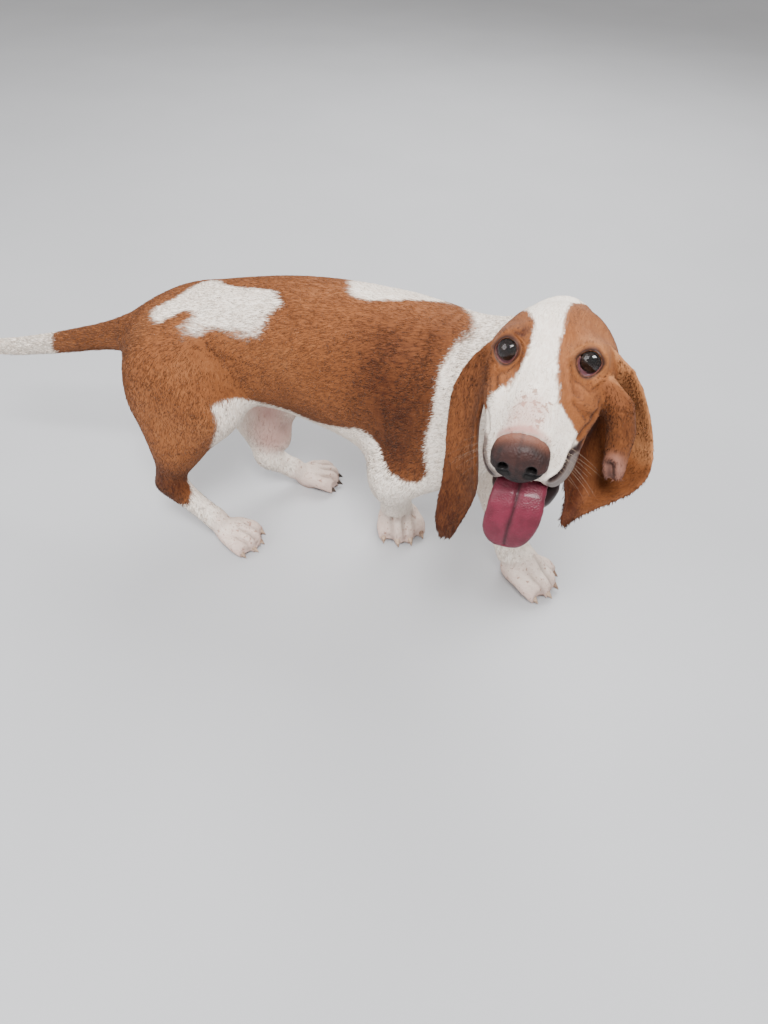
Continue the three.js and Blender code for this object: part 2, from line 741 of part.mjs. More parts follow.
// Closed leaf of even thickness over rows of two edges, with the same facets on both faces
function leafSolid(rows, spec, grow = 0) {
  const samples = curveThrough(rows, 4);
  const nu = spec.along;
  const nv = spec.across;
  const rowAt = (t) => {
    const x = t * (samples.length - 1);
    const i = Math.min(Math.floor(x), samples.length - 2);
    return samples[i].map((v, k) => lerp(v, samples[i + 1][k], x - i));
  };
  const sheet = [];
  for (let i = 0; i <= nu; i++) {
    const t = i / nu;
    const r = rowAt(t);
    const next = rowAt(Math.min(t + 0.03, 1));
    const back = rowAt(Math.max(t - 0.03, 0));
    const wide = scale(unit(sub(r.slice(3, 6), r.slice(0, 3))), grow);
    const past = i === 0 ? -grow : i === nu ? grow : 0;
    const along = sub(add(next.slice(0, 3), next.slice(3, 6)), add(back.slice(0, 3), back.slice(3, 6)));
    const onward = scale(unit(along), past);
    const rear = add(sub(r.slice(0, 3), wide), onward);
    const front = add(add(r.slice(3, 6), wide), onward);
    const face = unit(cross(sub(front, rear), along));
    for (let j = 0; j <= nv; j++) {
      const v = -Math.cos((Math.PI * j) / nv);
      const base = add(scale(rear, (1 - v) / 2), scale(front, (1 + v) / 2));
      sheet.push(add(base, scale(face, r[6] * (1 - v * v))));
    }
  }
  const at = (i, j) => sheet[clamp(i, 0, nu) * (nv + 1) + clamp(j, 0, nv)];
  const verts = [];
  for (const s of [1, -1]) {
    for (let i = 0; i <= nu; i++) {
      for (let j = 0; j <= nv; j++) {
        const n = unit(cross(sub(at(i, j + 1), at(i, j - 1)), sub(at(i + 1, j), at(i - 1, j))));
        const rim = j === 0 || j === nv || i === nu;
        verts.push(add(at(i, j), scale(n, s * ((rim ? spec.edge : spec.thick) / 2 + grow))));
      }
    }
  }
  const half = (nu + 1) * (nv + 1);
  const id = (i, j, s) => s * half + i * (nv + 1) + j;
  const tris = [];
  for (let i = 0; i < nu; i++) {
    for (let j = 0; j < nv; j++) {
      const q = [id(i, j, 0), id(i, j + 1, 0), id(i + 1, j + 1, 0), id(i + 1, j, 0)];
      tris.push([q[0], q[1], q[2]], [q[0], q[2], q[3]]);
      const w = q.map((v) => v + half);
      tris.push([w[0], w[2], w[1]], [w[0], w[3], w[2]]);
    }
  }
  const rim = [];
  for (let j = 0; j < nv; j++) rim.push([0, j]);
  for (let i = 0; i < nu; i++) rim.push([i, nv]);
  for (let j = nv; j > 0; j--) rim.push([nu, j]);
  for (let i = nu; i > 0; i--) rim.push([i, 0]);
  rim.forEach(([i, j], k) => {
    const [m, n] = rim[(k + 1) % rim.length];
    tris.push([id(i, j, 0), id(m, n, 1), id(m, n, 0)], [id(i, j, 0), id(i, j, 1), id(m, n, 1)]);
  });
  return facingOut(verts, tris);
}

// Closed tapered tube through points, with one radius for each point
function hornSolid(points, radii, sides) {
  const verts = [];
  const tris = [];
  const whole = unit(sub(points[points.length - 1], points[0]));
  const hint = Math.abs(whole[2]) > 0.6 ? [1, 0, 0] : [0, 0, 1];
  points.forEach((p, i) => {
    const a = points[Math.max(i - 1, 0)];
    const b = points[Math.min(i + 1, points.length - 1)];
    const along = unit(sub(b, a));
    const u = unit(cross(along, hint));
    const w = cross(along, u);
    for (let k = 0; k < sides; k++) {
      const t = (2 * Math.PI * k) / sides;
      verts.push(add(p, add(scale(u, radii[i] * Math.cos(t)), scale(w, radii[i] * Math.sin(t)))));
    }
  });
  for (let i = 0; i < points.length - 1; i++) {
    for (let k = 0; k < sides; k++) {
      const [a, b] = [i * sides + k, i * sides + ((k + 1) % sides)];
      tris.push([a, a + sides, b], [b, a + sides, b + sides]);
    }
  }
  const top = (points.length - 1) * sides;
  for (let k = 1; k < sides - 1; k++) tris.push([0, k, k + 1], [top, top + k + 1, top + k]);
  return facingOut(verts, tris);
}

// Region of space kept on the far side of every plane; grow moves the planes outwards
const FAR = 3000;
function region(planes, grow = 0) {
  let out = null;
  for (const [point, normal] of planes) {
    const n = unit(normal);
    const hint = Math.abs(n[2]) > 0.9 ? [1, 0, 0] : [0, 0, 1];
    const block = blockFrom(sub(point, scale(n, grow)), n, hint, FAR, FAR, FAR);
    out = out ? out.intersect(block) : block;
  }
  return out;
}

// Seams: each child region is kept from its planes outwards; a plane is a point and a normal
const MID_Y = -31;
const SEAMS = {
  thigh_right: [
    [[-178, -48, 234], [0.05, -0.72, -0.69]],
    [[-84, 0, 0], [-1, 0, 0]],
    [[0, MID_Y, 0], [0, -1, 0]],
  ],
  thigh_left: [
    [[-158, -12, 226], [0.05, 0.72, -0.69]],
    [[-26, 0, 0], [-1, 0, 0]],
    [[0, MID_Y + SEAM, 0], [0, 1, 0]],
  ],
  foreleg_right: [
    [[92, -66, 147], [0, -0.54, -0.84]],
    [[150, 0, 0], [-1, 0, 0]],
    [[10, 0, 0], [1, 0, 0]],
    [[0, 10, 0], [0, -1, 0]],
  ],
  foreleg_left: [[[184, -12, 143], [0.35, 0.45, -0.82]], [[150 + SEAM, 0, 0], [1, 0, 0]]],
  neck: [[[168, -62, 308], [0.74, -0.36, 0.57]]],
  head: [[HEAD.out([-68, 0, -20]), HEAD.forward.map((v, k) => v * 0.9 + HEAD.up[k] * 0.42)]],
  tail: [
    [[-247, -38, 268], [-0.93, 0, -0.36]],
    [[-247, 0, 236], [-0.36, 0, 0.93]],
    [[0, -4, 0], [0, -1, 0]],
    [[0, -74, 0], [0, 1, 0]],
  ],
  tail_tip: [[[-418, -40, 217], [-0.97, 0, -0.25]]],
  rear: [[[8, 0, 0], [-1, 0, 0]]],
  hock_right: [[[-204, -109, 96], [0.35, -0.08, -0.93]], [[0, MID_Y, 0], [0, -1, 0]], [[-84, 0, 0], [-1, 0, 0]]],
  hock_left: [[[-114, -4, 72], [0.2, 0, -0.98]], [[0, -60, 0], [0, 1, 0]], [[20, 0, 0], [-1, 0, 0]]],
  paw_hind_right: [[[-150, -113, 36], [0.83, 0, -0.55]], [[0, -60, 0], [0, -1, 0]]],
  paw_hind_left: [[[-82, 15, 34], [0.8, 0.25, -0.55]], [[0, -30, 0], [0, 1, 0]], [[30, 0, 0], [-1, 0, 0]]],
  paw_fore_right: [[[86, -35, 46], [0, -0.15, -1]], [[150, 0, 0], [-1, 0, 0]], [[20, 0, 0], [1, 0, 0]]],
  paw_fore_left: [[[256, -78, 44], [0.35, -0.1, -0.93]], [[200, 0, 0], [1, 0, 0]]],
};

const below = blockFrom([0, 0, FLOOR_Z], [0, 0, -1], [1, 0, 0], FAR, FAR, FAR);
const nodes = new Map();

// Flesh nodes: facets in a box, cut to their own region and cleared of the regions beyond
const outside = (planes, p) => Math.max(...planes.map(([point, normal]) => -dot(sub(p, point), unit(normal))));

function fleshNode(name, lo, hi, cell, own, beyond) {
  const margin = Math.max(...cell) * CUT_MARGIN;
  const near = (p) => {
    let d = flesh(p);
    if (own) d = Math.max(d, outside(own, p) - margin);
    for (const other of beyond) d = Math.max(d, -outside(other, p) - margin);
    return d;
  };
  let solid = fieldSolid(near, lo, hi, cell);
  if (own) solid = solid.intersect(region(own));
  for (const other of beyond) solid = solid.subtract(region(other, SEAM));
  if (lo[2] < 2) solid = solid.subtract(below);
  nodes.set(name, largest(solid));
}

// Box of each flesh node, its grid, and the names of the regions beyond it
const C = CELL;
const FLESH = [
  ["loin", [-300, -160, 140], [40, 90, 380], C.trunk, "rear", ["thigh_right", "thigh_left", "tail"]],
  ["chest", [-36, -170, 100], [260, 90, 380], C.trunk, null, ["rear", "foreleg_right", "foreleg_left", "neck"]],
  ["tail", [-450, -90, 190], [-205, 14, 320], C.tail, "tail", ["tail_tip"]],
  ["tail_tip", [-560, -80, 160], [-380, 10, 270], C.tip, "tail_tip", []],
  ["neck", [104, -220, 180], [336, 36, 476], C.neck, "neck", ["head"]],
  ["thigh_right", [-296, -170, 50], [-54, 0, 310], C.thigh, "thigh_right", ["hock_right", "tail"]],
  ["thigh_left", [-280, -66, 40], [6, 90, 310], C.thigh, "thigh_left", ["hock_left", "tail"]],
  ["hock_right", [-260, -150, -10], [-80, -70, 130], C.shank, "hock_right", ["paw_hind_right"]],
  ["hock_left", [-190, -50, -10], [0, 60, 120], C.shank, "hock_left", ["paw_hind_left"]],
  ["foreleg_right", [20, -160, 10], [170, 30, 220], C.foreleg, "foreleg_right", ["paw_fore_right"]],
  ["foreleg_left", [126, -136, 10], [316, 76, 220], C.foreleg, "foreleg_left", ["paw_fore_left"]],
  ["paw_hind_right", [-190, -172, -18], [-50, -60, 70], C.paw, "paw_hind_right", []],
  ["paw_hind_left", [-126, -36, -18], [36, 96, 70], C.paw, "paw_hind_left", []],
  ["paw_fore_right", [24, -116, -18], [156, 26, 70], C.paw, "paw_fore_right", []],
  ["paw_fore_left", [214, -156, -18], [356, -14, 70], C.paw, "paw_fore_left", []],
  ["head", [120, -365, 280], [350, -90, 500], C.head, "head", []],
];
for (const [name, lo, hi, cell, own, beyond] of FLESH) {
  fleshNode(name, lo, hi, cell, own ? SEAMS[own] : null, beyond.map((key) => SEAMS[key]));
}

// Four claws on each paw, fused where they grow
const random = makeRandom(4117);
for (const [where, paw] of Object.entries(paws)) {
  const size = paw.size;
  let solid = nodes.get(`paw_${where}`);
  for (const toe of paw.toes) {
    const long = CLAW.long * size * (0.92 + 0.16 * random());
    const skew = toe.k * (1.2 + random());
    const root = paw.at(toe.reach - 5, toe.k * 17.2, 11.5);
    const mid = add(root, scale(paw.frame.forward, long * 0.6));
    const tip = add(root, add(scale(paw.frame.forward, long), scale(paw.frame.left, skew)));
    mid[2] = CLAW.midZ * size;
    tip[2] = CLAW.tipZ;
    const radii = [CLAW.root * size, CLAW.root * size * CLAW.waist, CLAW.tip];
    solid = solid.add(hornSolid([root, mid, tip], radii, CLAW.sides));
  }
  nodes.set(`paw_${where}`, largest(solid));
}

// Solids that sit in the head, each with a slightly larger twin that clears its seat
const inHead = (field) => (p) => field(HEAD.into(p));
function seated(name, field, lo, hi, cell) {
  const solid = fieldSolid(field, lo, hi, cell);
  const seat = fieldSolid((p) => field(p) - SEAT, lo, hi, cell);
  nodes.set(name, solid);
  return seat;
}
function ballAt(center, radius) {
  return geometrySolid(new THREE.SphereGeometry(radius, 12, 8), new THREE.Matrix4().setPosition(...center));
}

const headBox = [[120, -380, 250], [350, -90, 500]];
const jawSeat = seated("lower_jaw", inHead(jawField()), ...headBox, C.jaw);
nodes.set("lower_jaw", nodes.get("lower_jaw").intersect(region(SEAMS.head)));
const noseSeat = seated("nose", inHead(noseField()), ...headBox, C.nose);
for (const side of [-1, 1]) {
  const from = HEAD.out([NOSTRIL.from[0], side * NOSTRIL.from[1] + NOSE_SHIFT, NOSTRIL.from[2]]);
  const to = HEAD.out([NOSTRIL.to[0], side * NOSTRIL.to[1] + NOSE_SHIFT, NOSTRIL.to[2]]);
  const nostril = hornSolid([from, to], [NOSTRIL.radius * 1.3, NOSTRIL.radius * 0.6], 8);
  nodes.set("nose", nodes.get("nose").subtract(nostril));
}
let headSolid = nodes.get("head");
for (const side of [-1, 1]) {
  const center = [0, side * EYE_SPREAD, 0];
  const ring = new THREE.TorusGeometry(1, RING.tube, RING.round, RING.sides);
  const spot = ring.attributes.position;
  for (let i = 0; i < spot.count; i++) {
    const turn = Math.atan2(spot.getY(i), spot.getX(i));
    const out = (Math.hypot(spot.getX(i), spot.getY(i)) - 1) / RING.tube;
    const deep = spot.getZ(i) / RING.tube;
    const across = Math.cos(turn) * (LID.wide + out * LID.roll);
    const rise = Math.sin(turn) * (LID.high + out * LID.roll);
    const back = LID.out - LID.wrap * Math.abs(Math.cos(turn)) + deep * LID.roll;
    spot.setXYZ(i, ...HEAD.out([center[0] + back, center[1] - across, center[2] + rise]));
  }
  headSolid = headSolid.add(geometrySolid(ring, new THREE.Matrix4()));
  const name = side < 0 ? "eye_right" : "eye_left";
  nodes.set(name, ballAt(HEAD.out(center), EYE_RADIUS));
  headSolid = headSolid.subtract(ballAt(HEAD.out(center), EYE_RADIUS + SEAM));
}
const tongueRows = TONGUE_ROWS.map((r) => [...HEAD.out(r.slice(0, 3)), ...HEAD.out(r.slice(3, 6)), r[6]]);
nodes.set("tongue", leafSolid(tongueRows, TONGUE));
const tongueSeat = leafSolid(tongueRows, TONGUE, SEAM);
nodes.set("lower_jaw", largest(nodes.get("lower_jaw").subtract(tongueSeat).subtract(noseSeat)));
headSolid = headSolid.subtract(jawSeat).subtract(noseSeat).subtract(tongueSeat);
nodes.set("head", largest(headSolid));

// Rolled front margin of an ear and the hollow that opens at its lower end
const rolledMargin = (roll) => hornSolid(roll.line, roll.radii, roll.sides);
function rollHollow(roll) {
  const [before, end] = roll.line.slice(-2);
  const past = add(end, scale(unit(sub(end, before)), roll.radii[0]));
  const wide = roll.radii[roll.radii.length - 1] * roll.hollow;
  return hornSolid([before, end, past], [wide * 0.4, wide, wide * 1.2], roll.sides);
}

// The ears hang clear of the head and neck and meet the head at their roots
const headSeat = fieldSolid((p) => flesh(p) - SEAT, [120, -365, 280], [350, -90, 500], C.head);
const neckSeat = fieldSolid((p) => flesh(p) - SEAT, [104, -220, 180], [336, 36, 476], C.neck);
for (const side of ["right", "left"]) {
  let leaf = leafSolid(EAR_ROWS[side], EAR);
  if (side === "left") leaf = leaf.add(rolledMargin(EAR_ROLL)).subtract(rollHollow(EAR_ROLL));
  nodes.set(`ear_${side}`, largest(leaf.subtract(headSeat).subtract(neckSeat)));
}

// Every node as a mesh of its own with its own material
const TINTS = { coat: 0xb0703c, white: 0xe9e1d4, dark: 0x2a1c18, tongue: 0xc4607a, eye: 0x1c1210 };
const tintOf = (name) => {
  if (name.startsWith("paw") || name === "tail_tip" || name.startsWith("hock")) return TINTS.white;
  if (name.startsWith("eye")) return TINTS.eye;
  if (name === "nose") return TINTS.dark;
  if (name === "tongue") return TINTS.tongue;
  return TINTS.coat;
};

const WET = 0.25;
const DRY = 0.85;
const roughnessOf = (name) => (name.startsWith("eye") || name === "nose" || name === "tongue" ? WET : DRY);

const group = new THREE.Group();
group.name = "basset_hound";
const bounds = new THREE.Box3();
for (const [name, solid] of nodes) {
  const m = solid.getMesh();
  const g = new THREE.BufferGeometry();
  g.setAttribute("position", new THREE.BufferAttribute(Float32Array.from(m.vertProperties), 3));
  g.setIndex(Array.from(m.triVerts));
  g.computeVertexNormals();
  g.computeBoundingBox();
  bounds.union(g.boundingBox);
  const material = new THREE.MeshStandardMaterial({ color: tintOf(name), roughness: roughnessOf(name) });
  const mesh = new THREE.Mesh(g, material);
  mesh.name = name;
  group.add(mesh);
}

// The frame's origin is the middle of the box that the animal fills, on the floor
group.position.set(-Math.round((bounds.min.x + bounds.max.x) / 2), -Math.round((bounds.min.y + bounds.max.y) / 2), 0);

export default group;
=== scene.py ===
"""Life-size still model of a basset hound: skin, short coat, eyes, nose, tongue, claws and whiskers."""

import json
import logging
import math
from dataclasses import dataclass, field
from enum import Enum
from typing import Callable

import bpy
import numpy as np
from mathutils import Matrix, Vector
from mathutils.kdtree import KDTree

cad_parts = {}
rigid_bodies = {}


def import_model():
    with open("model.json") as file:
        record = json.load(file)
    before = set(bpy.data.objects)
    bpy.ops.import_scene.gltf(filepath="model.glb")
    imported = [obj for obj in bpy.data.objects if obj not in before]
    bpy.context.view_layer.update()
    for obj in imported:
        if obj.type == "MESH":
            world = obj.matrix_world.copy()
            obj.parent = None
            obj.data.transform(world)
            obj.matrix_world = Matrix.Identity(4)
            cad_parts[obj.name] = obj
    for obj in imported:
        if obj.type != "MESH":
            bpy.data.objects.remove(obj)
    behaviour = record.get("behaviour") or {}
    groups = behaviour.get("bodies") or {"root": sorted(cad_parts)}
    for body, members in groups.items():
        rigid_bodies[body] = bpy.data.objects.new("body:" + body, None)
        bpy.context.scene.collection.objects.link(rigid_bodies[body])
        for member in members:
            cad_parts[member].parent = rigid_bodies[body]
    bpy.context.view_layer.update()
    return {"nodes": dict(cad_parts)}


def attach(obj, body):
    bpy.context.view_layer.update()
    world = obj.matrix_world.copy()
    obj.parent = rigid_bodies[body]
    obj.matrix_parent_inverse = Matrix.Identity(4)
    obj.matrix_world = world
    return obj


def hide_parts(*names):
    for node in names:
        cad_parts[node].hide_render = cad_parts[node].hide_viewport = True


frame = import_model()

LOG = logging.getLogger("basset_hound")
Socket = bpy.types.NodeSocket
MM = 0.001
UP = np.array([0.0, 0.0, 1.0])
# Place of the body's own frame in the part's frame, in millimetres
BODY_PLACE = np.array([91.0, 135.0, 0.0])
MID_Y = -31.0
# Corners of a solid closer than this, in metres, are one corner
WELD = 1e-5

HEAD_NODES = ("head", "lower_jaw")
EAR_NODES = ("ear_right", "ear_left")
PAW_NODES = ("paw_fore_right", "paw_fore_left", "paw_hind_right", "paw_hind_left")
HOCK_NODES = ("hock_right", "hock_left")
HIND_NODES = ("thigh_right", "thigh_left") + HOCK_NODES
LEG_NODES = HIND_NODES + ("foreleg_right", "foreleg_left")
TAIL_NODES = ("tail", "tail_tip")
TRUNK_NODES = ("loin", "chest", "neck")
FLESH_NODES = TRUNK_NODES + TAIL_NODES + LEG_NODES + PAW_NODES + HEAD_NODES + EAR_NODES
# Solids that the skin closes over, so that no socket stays open behind their own pieces
FILLED_NODES = ("eye_right", "eye_left", "nose")
FACE_NODES = HEAD_NODES + FILLED_NODES
PART_NAMES = FLESH_NODES + FILLED_NODES
PART_NUMBER = {name: k for k, name in enumerate(PART_NAMES)}


class Slot(Enum):
    """Material slots of the record."""

    COAT = "coat"
    NOSE = "nose"
    EYE = "eye"
    TONGUE = "tongue"
    CLAW = "claw"
    WHISKER = "whisker"


def unit(v: np.ndarray) -> np.ndarray:
    """Vectors at length one."""
    return v / np.maximum(np.linalg.norm(v, axis=-1, keepdims=True), 1e-9)


def ease(low: float, high: float, x: np.ndarray) -> np.ndarray:
    """Smooth step from 0 at low to 1 at high."""
    t = np.clip((x - low) / (high - low), 0.0, 1.0)
    return t * t * (3.0 - 2.0 * t)


def into_body(points: np.ndarray) -> np.ndarray:
    """Part metres to body millimetres."""
    return points / MM - BODY_PLACE


def out_of_body(points: np.ndarray) -> np.ndarray:
    """Body millimetres to part metres."""
    return (points + BODY_PLACE) * MM


@dataclass(frozen=True)
class Axes:
    """A turned frame in body millimetres, with its x axis forward, y to the left and z up."""

    origin: np.ndarray
    basis: np.ndarray

    @classmethod
    def turned(cls, origin: tuple, yaw: float, pitch: float = 0.0, roll: float = 0.0) -> "Axes":
        """Frame at origin, turned by degrees.

        Args:
            origin: Place in body millimetres.
            yaw: Turn about the vertical.
            pitch: Rise of the forward axis.
            roll: Lean about the forward axis.

        Returns:
            The frame.
        """
        a, b, c = (math.radians(v) for v in (yaw, pitch, roll))
        forward = np.array([math.cos(b) * math.cos(a), math.cos(b) * math.sin(a), math.sin(b)])
        flat = np.array([-math.sin(a), math.cos(a), 0.0])
        rise = np.cross(forward, flat)
        left = flat * math.cos(c) + rise * math.sin(c)
        return cls(np.array(origin, float), np.stack([forward, left, np.cross(forward, left)]))

    def into(self, points: np.ndarray) -> np.ndarray:
        """Body points in this frame."""
        return (points - self.origin) @ self.basis.T

    def out(self, points: np.ndarray) -> np.ndarray:
        """This frame's points in the body's frame."""
        return np.asarray(points, float) @ self.basis + self.origin

    def along(self, direction: tuple) -> np.ndarray:
        """A direction of this frame as a unit direction of the body."""
        return unit(np.asarray(direction, float) @ self.basis)


HEAD = Axes.turned((239.0, -210.0, 422.0), -95.7, 10.5, 4.0)
EYE_SPREAD = 32.8
EYE_RADIUS = 12.0


@dataclass(frozen=True)
class Paw:
    """A paw's place on the floor, its turn and its size, with its four toes."""

    node: str
    place: tuple
    turn: float
    size: float

    @property
    def axes(self) -> Axes:
        """Frame of the paw on the floor."""
        return Axes.turned(self.place, self.turn)

    def toes(self) -> list[tuple[float, float]]:
        """Each toe's number from the middle, and its reach."""
        return [(k, 24.0 if abs(k) > 1 else 34.0) for k in (-1.5, -0.5, 0.5, 1.5)]

    def at(self, x: float, y: float, z: float) -> np.ndarray:
        """A point of the paw's plan in body millimetres."""
        return self.axes.out(np.array([x, y, z]) * self.size)

    def cleft(self, points: np.ndarray) -> np.ndarray:
        """Share of the grooves between the toes at body points."""
        x, y, z = self.axes.into(points).T / self.size
        rows = sum(np.exp(-(((y - 15.2 * k) / 2.1) ** 2)) for k in (-1.0, 0.0, 1.0))
        return rows * ease(-2.0, 12.0, x) * ease(1.0, 6.0, z)


PAWS = (
    Paw("paw_hind_left", (-48.0, 30.0, 0.0), 14.0, 0.9),
    Paw("paw_hind_right", (-118.0, -114.0, 0.0), -12.0, 0.9),
    Paw("paw_fore_right", (90.0, -30.0, 0.0), -66.0, 1.02),
    Paw("paw_fore_left", (276.0, -84.0, 0.0), -22.0, 1.05),
)


def deselect() -> None:
    """Leaves nothing selected."""
    for obj in bpy.context.view_layer.objects:
        obj.select_set(False)


def activate(obj: bpy.types.Object) -> None:
    """Makes one object the only one selected, and active."""
    deselect()
    obj.select_set(True)
    bpy.context.view_layer.objects.active = obj


def link(name: str, data: bpy.types.ID) -> bpy.types.Object:
    """A new object in the scene that holds a mesh, a lamp or a camera."""
    obj = bpy.data.objects.new(name, data)
    bpy.context.scene.collection.objects.link(obj)
    return obj


def join(objects: list[bpy.types.Object], name: str) -> bpy.types.Object:
    """Makes the first object out of all of them, under a new name."""
    activate(objects[0])
    for obj in objects:
        obj.select_set(True)
    bpy.ops.object.join()
    objects[0].name = name
    return objects[0]


def weld(obj: bpy.types.Object) -> None:
    """Makes one corner of the corners that lie on each other."""
    activate(obj)
    bpy.ops.object.mode_set(mode="EDIT")
    bpy.ops.mesh.select_all(action="SELECT")
    bpy.ops.mesh.remove_doubles(threshold=WELD)
    bpy.ops.object.mode_set(mode="OBJECT")


def modify(obj: bpy.types.Object, name: str, kind: str, **settings: object) -> None:
    """Puts a modifier on an object and makes its result the mesh.

    Args:
        obj: The object.
        name: The modifier's name.
        kind: Its type.
        settings: Its settings by name.
    """
    modifier = obj.modifiers.new(name, kind)
    for key, value in settings.items():
        setattr(modifier, key, value)
    activate(obj)
    bpy.ops.object.modifier_apply(modifier=modifier.name)


def points_of(mesh: bpy.types.Mesh) -> np.ndarray:
    """Vertex places as an array."""
    co = np.empty(len(mesh.vertices) * 3)
    mesh.vertices.foreach_get("co", co)
    return co.reshape(-1, 3)


def normals_of(mesh: bpy.types.Mesh) -> np.ndarray:
    """Vertex normals as an array."""
    no = np.empty(len(mesh.vertices) * 3, np.float32)
    mesh.vertex_normals.foreach_get("vector", no)
    return no.reshape(-1, 3).astype(float)


def set_points(mesh: bpy.types.Mesh, points: np.ndarray) -> None:
    """Moves the vertices to new places."""
    mesh.vertices.foreach_set("co", points.ravel())
    mesh.update()


def edges_of(mesh: bpy.types.Mesh) -> np.ndarray:
    """Edges as pairs of vertex numbers."""
    pairs = np.empty(len(mesh.edges) * 2, np.int64)
    mesh.edges.foreach_get("vertices", pairs)
    return pairs.reshape(-1, 2)


def relax(values: np.ndarray, edges: np.ndarray, rounds: int, weight: np.ndarray | float = 0.5) -> np.ndarray:
    """Evens values over the mesh by the mean of each vertex's neighbours.

    Args:
        values: One row for each vertex.
        edges: Pairs of vertex numbers.
        rounds: How many times.
        weight: Share of the mean that is taken, alone or for each vertex.

    Returns:
        The evened values.
    """
    count = len(values)
    a = np.concatenate([edges[:, 0], edges[:, 1]])
    b = np.concatenate([edges[:, 1], edges[:, 0]])
    degree = np.maximum(np.bincount(a, minlength=count), 1)
    out = values.copy()
    share = np.broadcast_to(np.asarray(weight, float), (count,))
    for _ in range(rounds):
        for axis in range(out.shape[1]):
            mean = np.bincount(a, weights=out[b, axis], minlength=count) / degree
            out[:, axis] += share * (mean - out[:, axis])
    return out


def store(mesh: bpy.types.Mesh, name: str, values: np.ndarray) -> None:
    """Keeps a number or a vector for each vertex as a named attribute."""
    flat = values.ndim == 1
    layer = mesh.attributes.new(name, "FLOAT" if flat else "FLOAT_VECTOR", "POINT")
    layer.data.foreach_set("value" if flat else "vector", values.astype(np.float32).ravel())


def polygon_field(x: np.ndarray, y: np.ndarray, corners: tuple) -> np.ndarray:
    """Distance to the edge of a flat outline, above zero inside it.

    Args:
        x: First coordinate of the points.
        y: Second coordinate of the points.
        corners: Corners of the outline in order.

    Returns:
        Signed distance of each point.
    """
    best = np.full(len(x), np.inf)
    inside = np.zeros(len(x), bool)
    for (ax, ay), (bx, by) in zip(corners, corners[1:] + corners[:1]):
        ex, ey = bx - ax, by - ay
        t = np.clip(((x - ax) * ex + (y - ay) * ey) / (ex * ex + ey * ey), 0.0, 1.0)
        best = np.minimum(best, np.hypot(x - ax - t * ex, y - ay - t * ey))
        crosses = (ay > y) != (by > y)
        at = ax + (y - ay) * ex / (ey if abs(ey) > 1e-9 else 1e-9)
        inside ^= crosses & (x < at)
    return np.where(inside, best, -best)


def spot(points: np.ndarray, centre: tuple, radii: tuple) -> np.ndarray:
    """Distance to the surface of an egg-shaped spot, above zero inside it."""
    scaled = (points - np.array(centre)) / np.array(radii)
    return (1.0 - np.linalg.norm(scaled, axis=1)) * min(radii)


@dataclass(frozen=True)
class Spot:
    """An egg-shaped patch with a soft border."""

    centre: tuple
    radii: tuple
    border: tuple
    strength: float = 1.0

    def share(self, points: np.ndarray) -> np.ndarray:
        """Its share at each point."""
        return self.strength * ease(*self.border, spot(points, self.centre, self.radii))


def near_line(points: np.ndarray, line: tuple) -> np.ndarray:
    """Distance of each point to a line of straight stretches."""
    best = np.full(len(points), np.inf)
    for a, b in zip(line, line[1:]):
        start, run = np.array(a, float), np.array(b, float) - np.array(a, float)
        t = np.clip(((points - start) @ run) / (run @ run), 0.0, 1.0)
        best = np.minimum(best, np.linalg.norm(points - start - t[:, None] * run, axis=1))
    return best


@dataclass(frozen=True)
class Crease:
    """A fold line of the skin: a groove with a soft ridge on both sides."""

    line: tuple
    width: float
    depth: float

    def push(self, points: np.ndarray) -> np.ndarray:
        """How far each point moves along its normal."""
        d = near_line(points, self.line) / self.width
        return self.depth * (0.45 * np.exp(-((d - 1.9) ** 2)) - np.exp(-(d**2)))

    def hollow(self, points: np.ndarray) -> np.ndarray:
        """Share of the groove's floor at each point."""
        return np.exp(-((near_line(points, self.line) / self.width) ** 2))


@dataclass
class Hide:
    """What the skin's vertices know: place, normal, nearest solid, and their masks."""

    points: np.ndarray
    normals: np.ndarray
    part: np.ndarray
    edges: np.ndarray
    head: np.ndarray = field(init=False)

    def __post_init__(self) -> None:
        """Adds the places in the head's frame."""
        self.head = HEAD.into(self.points)

    def on(self, *names: str) -> np.ndarray:
        """True for vertices whose nearest solid is one of these."""
        return np.isin(self.part, [PART_NUMBER[name] for name in names])


# Names of the coat's masks on the mesh
MASKS = ("white", "dark", "pink", "shade", "ticks")


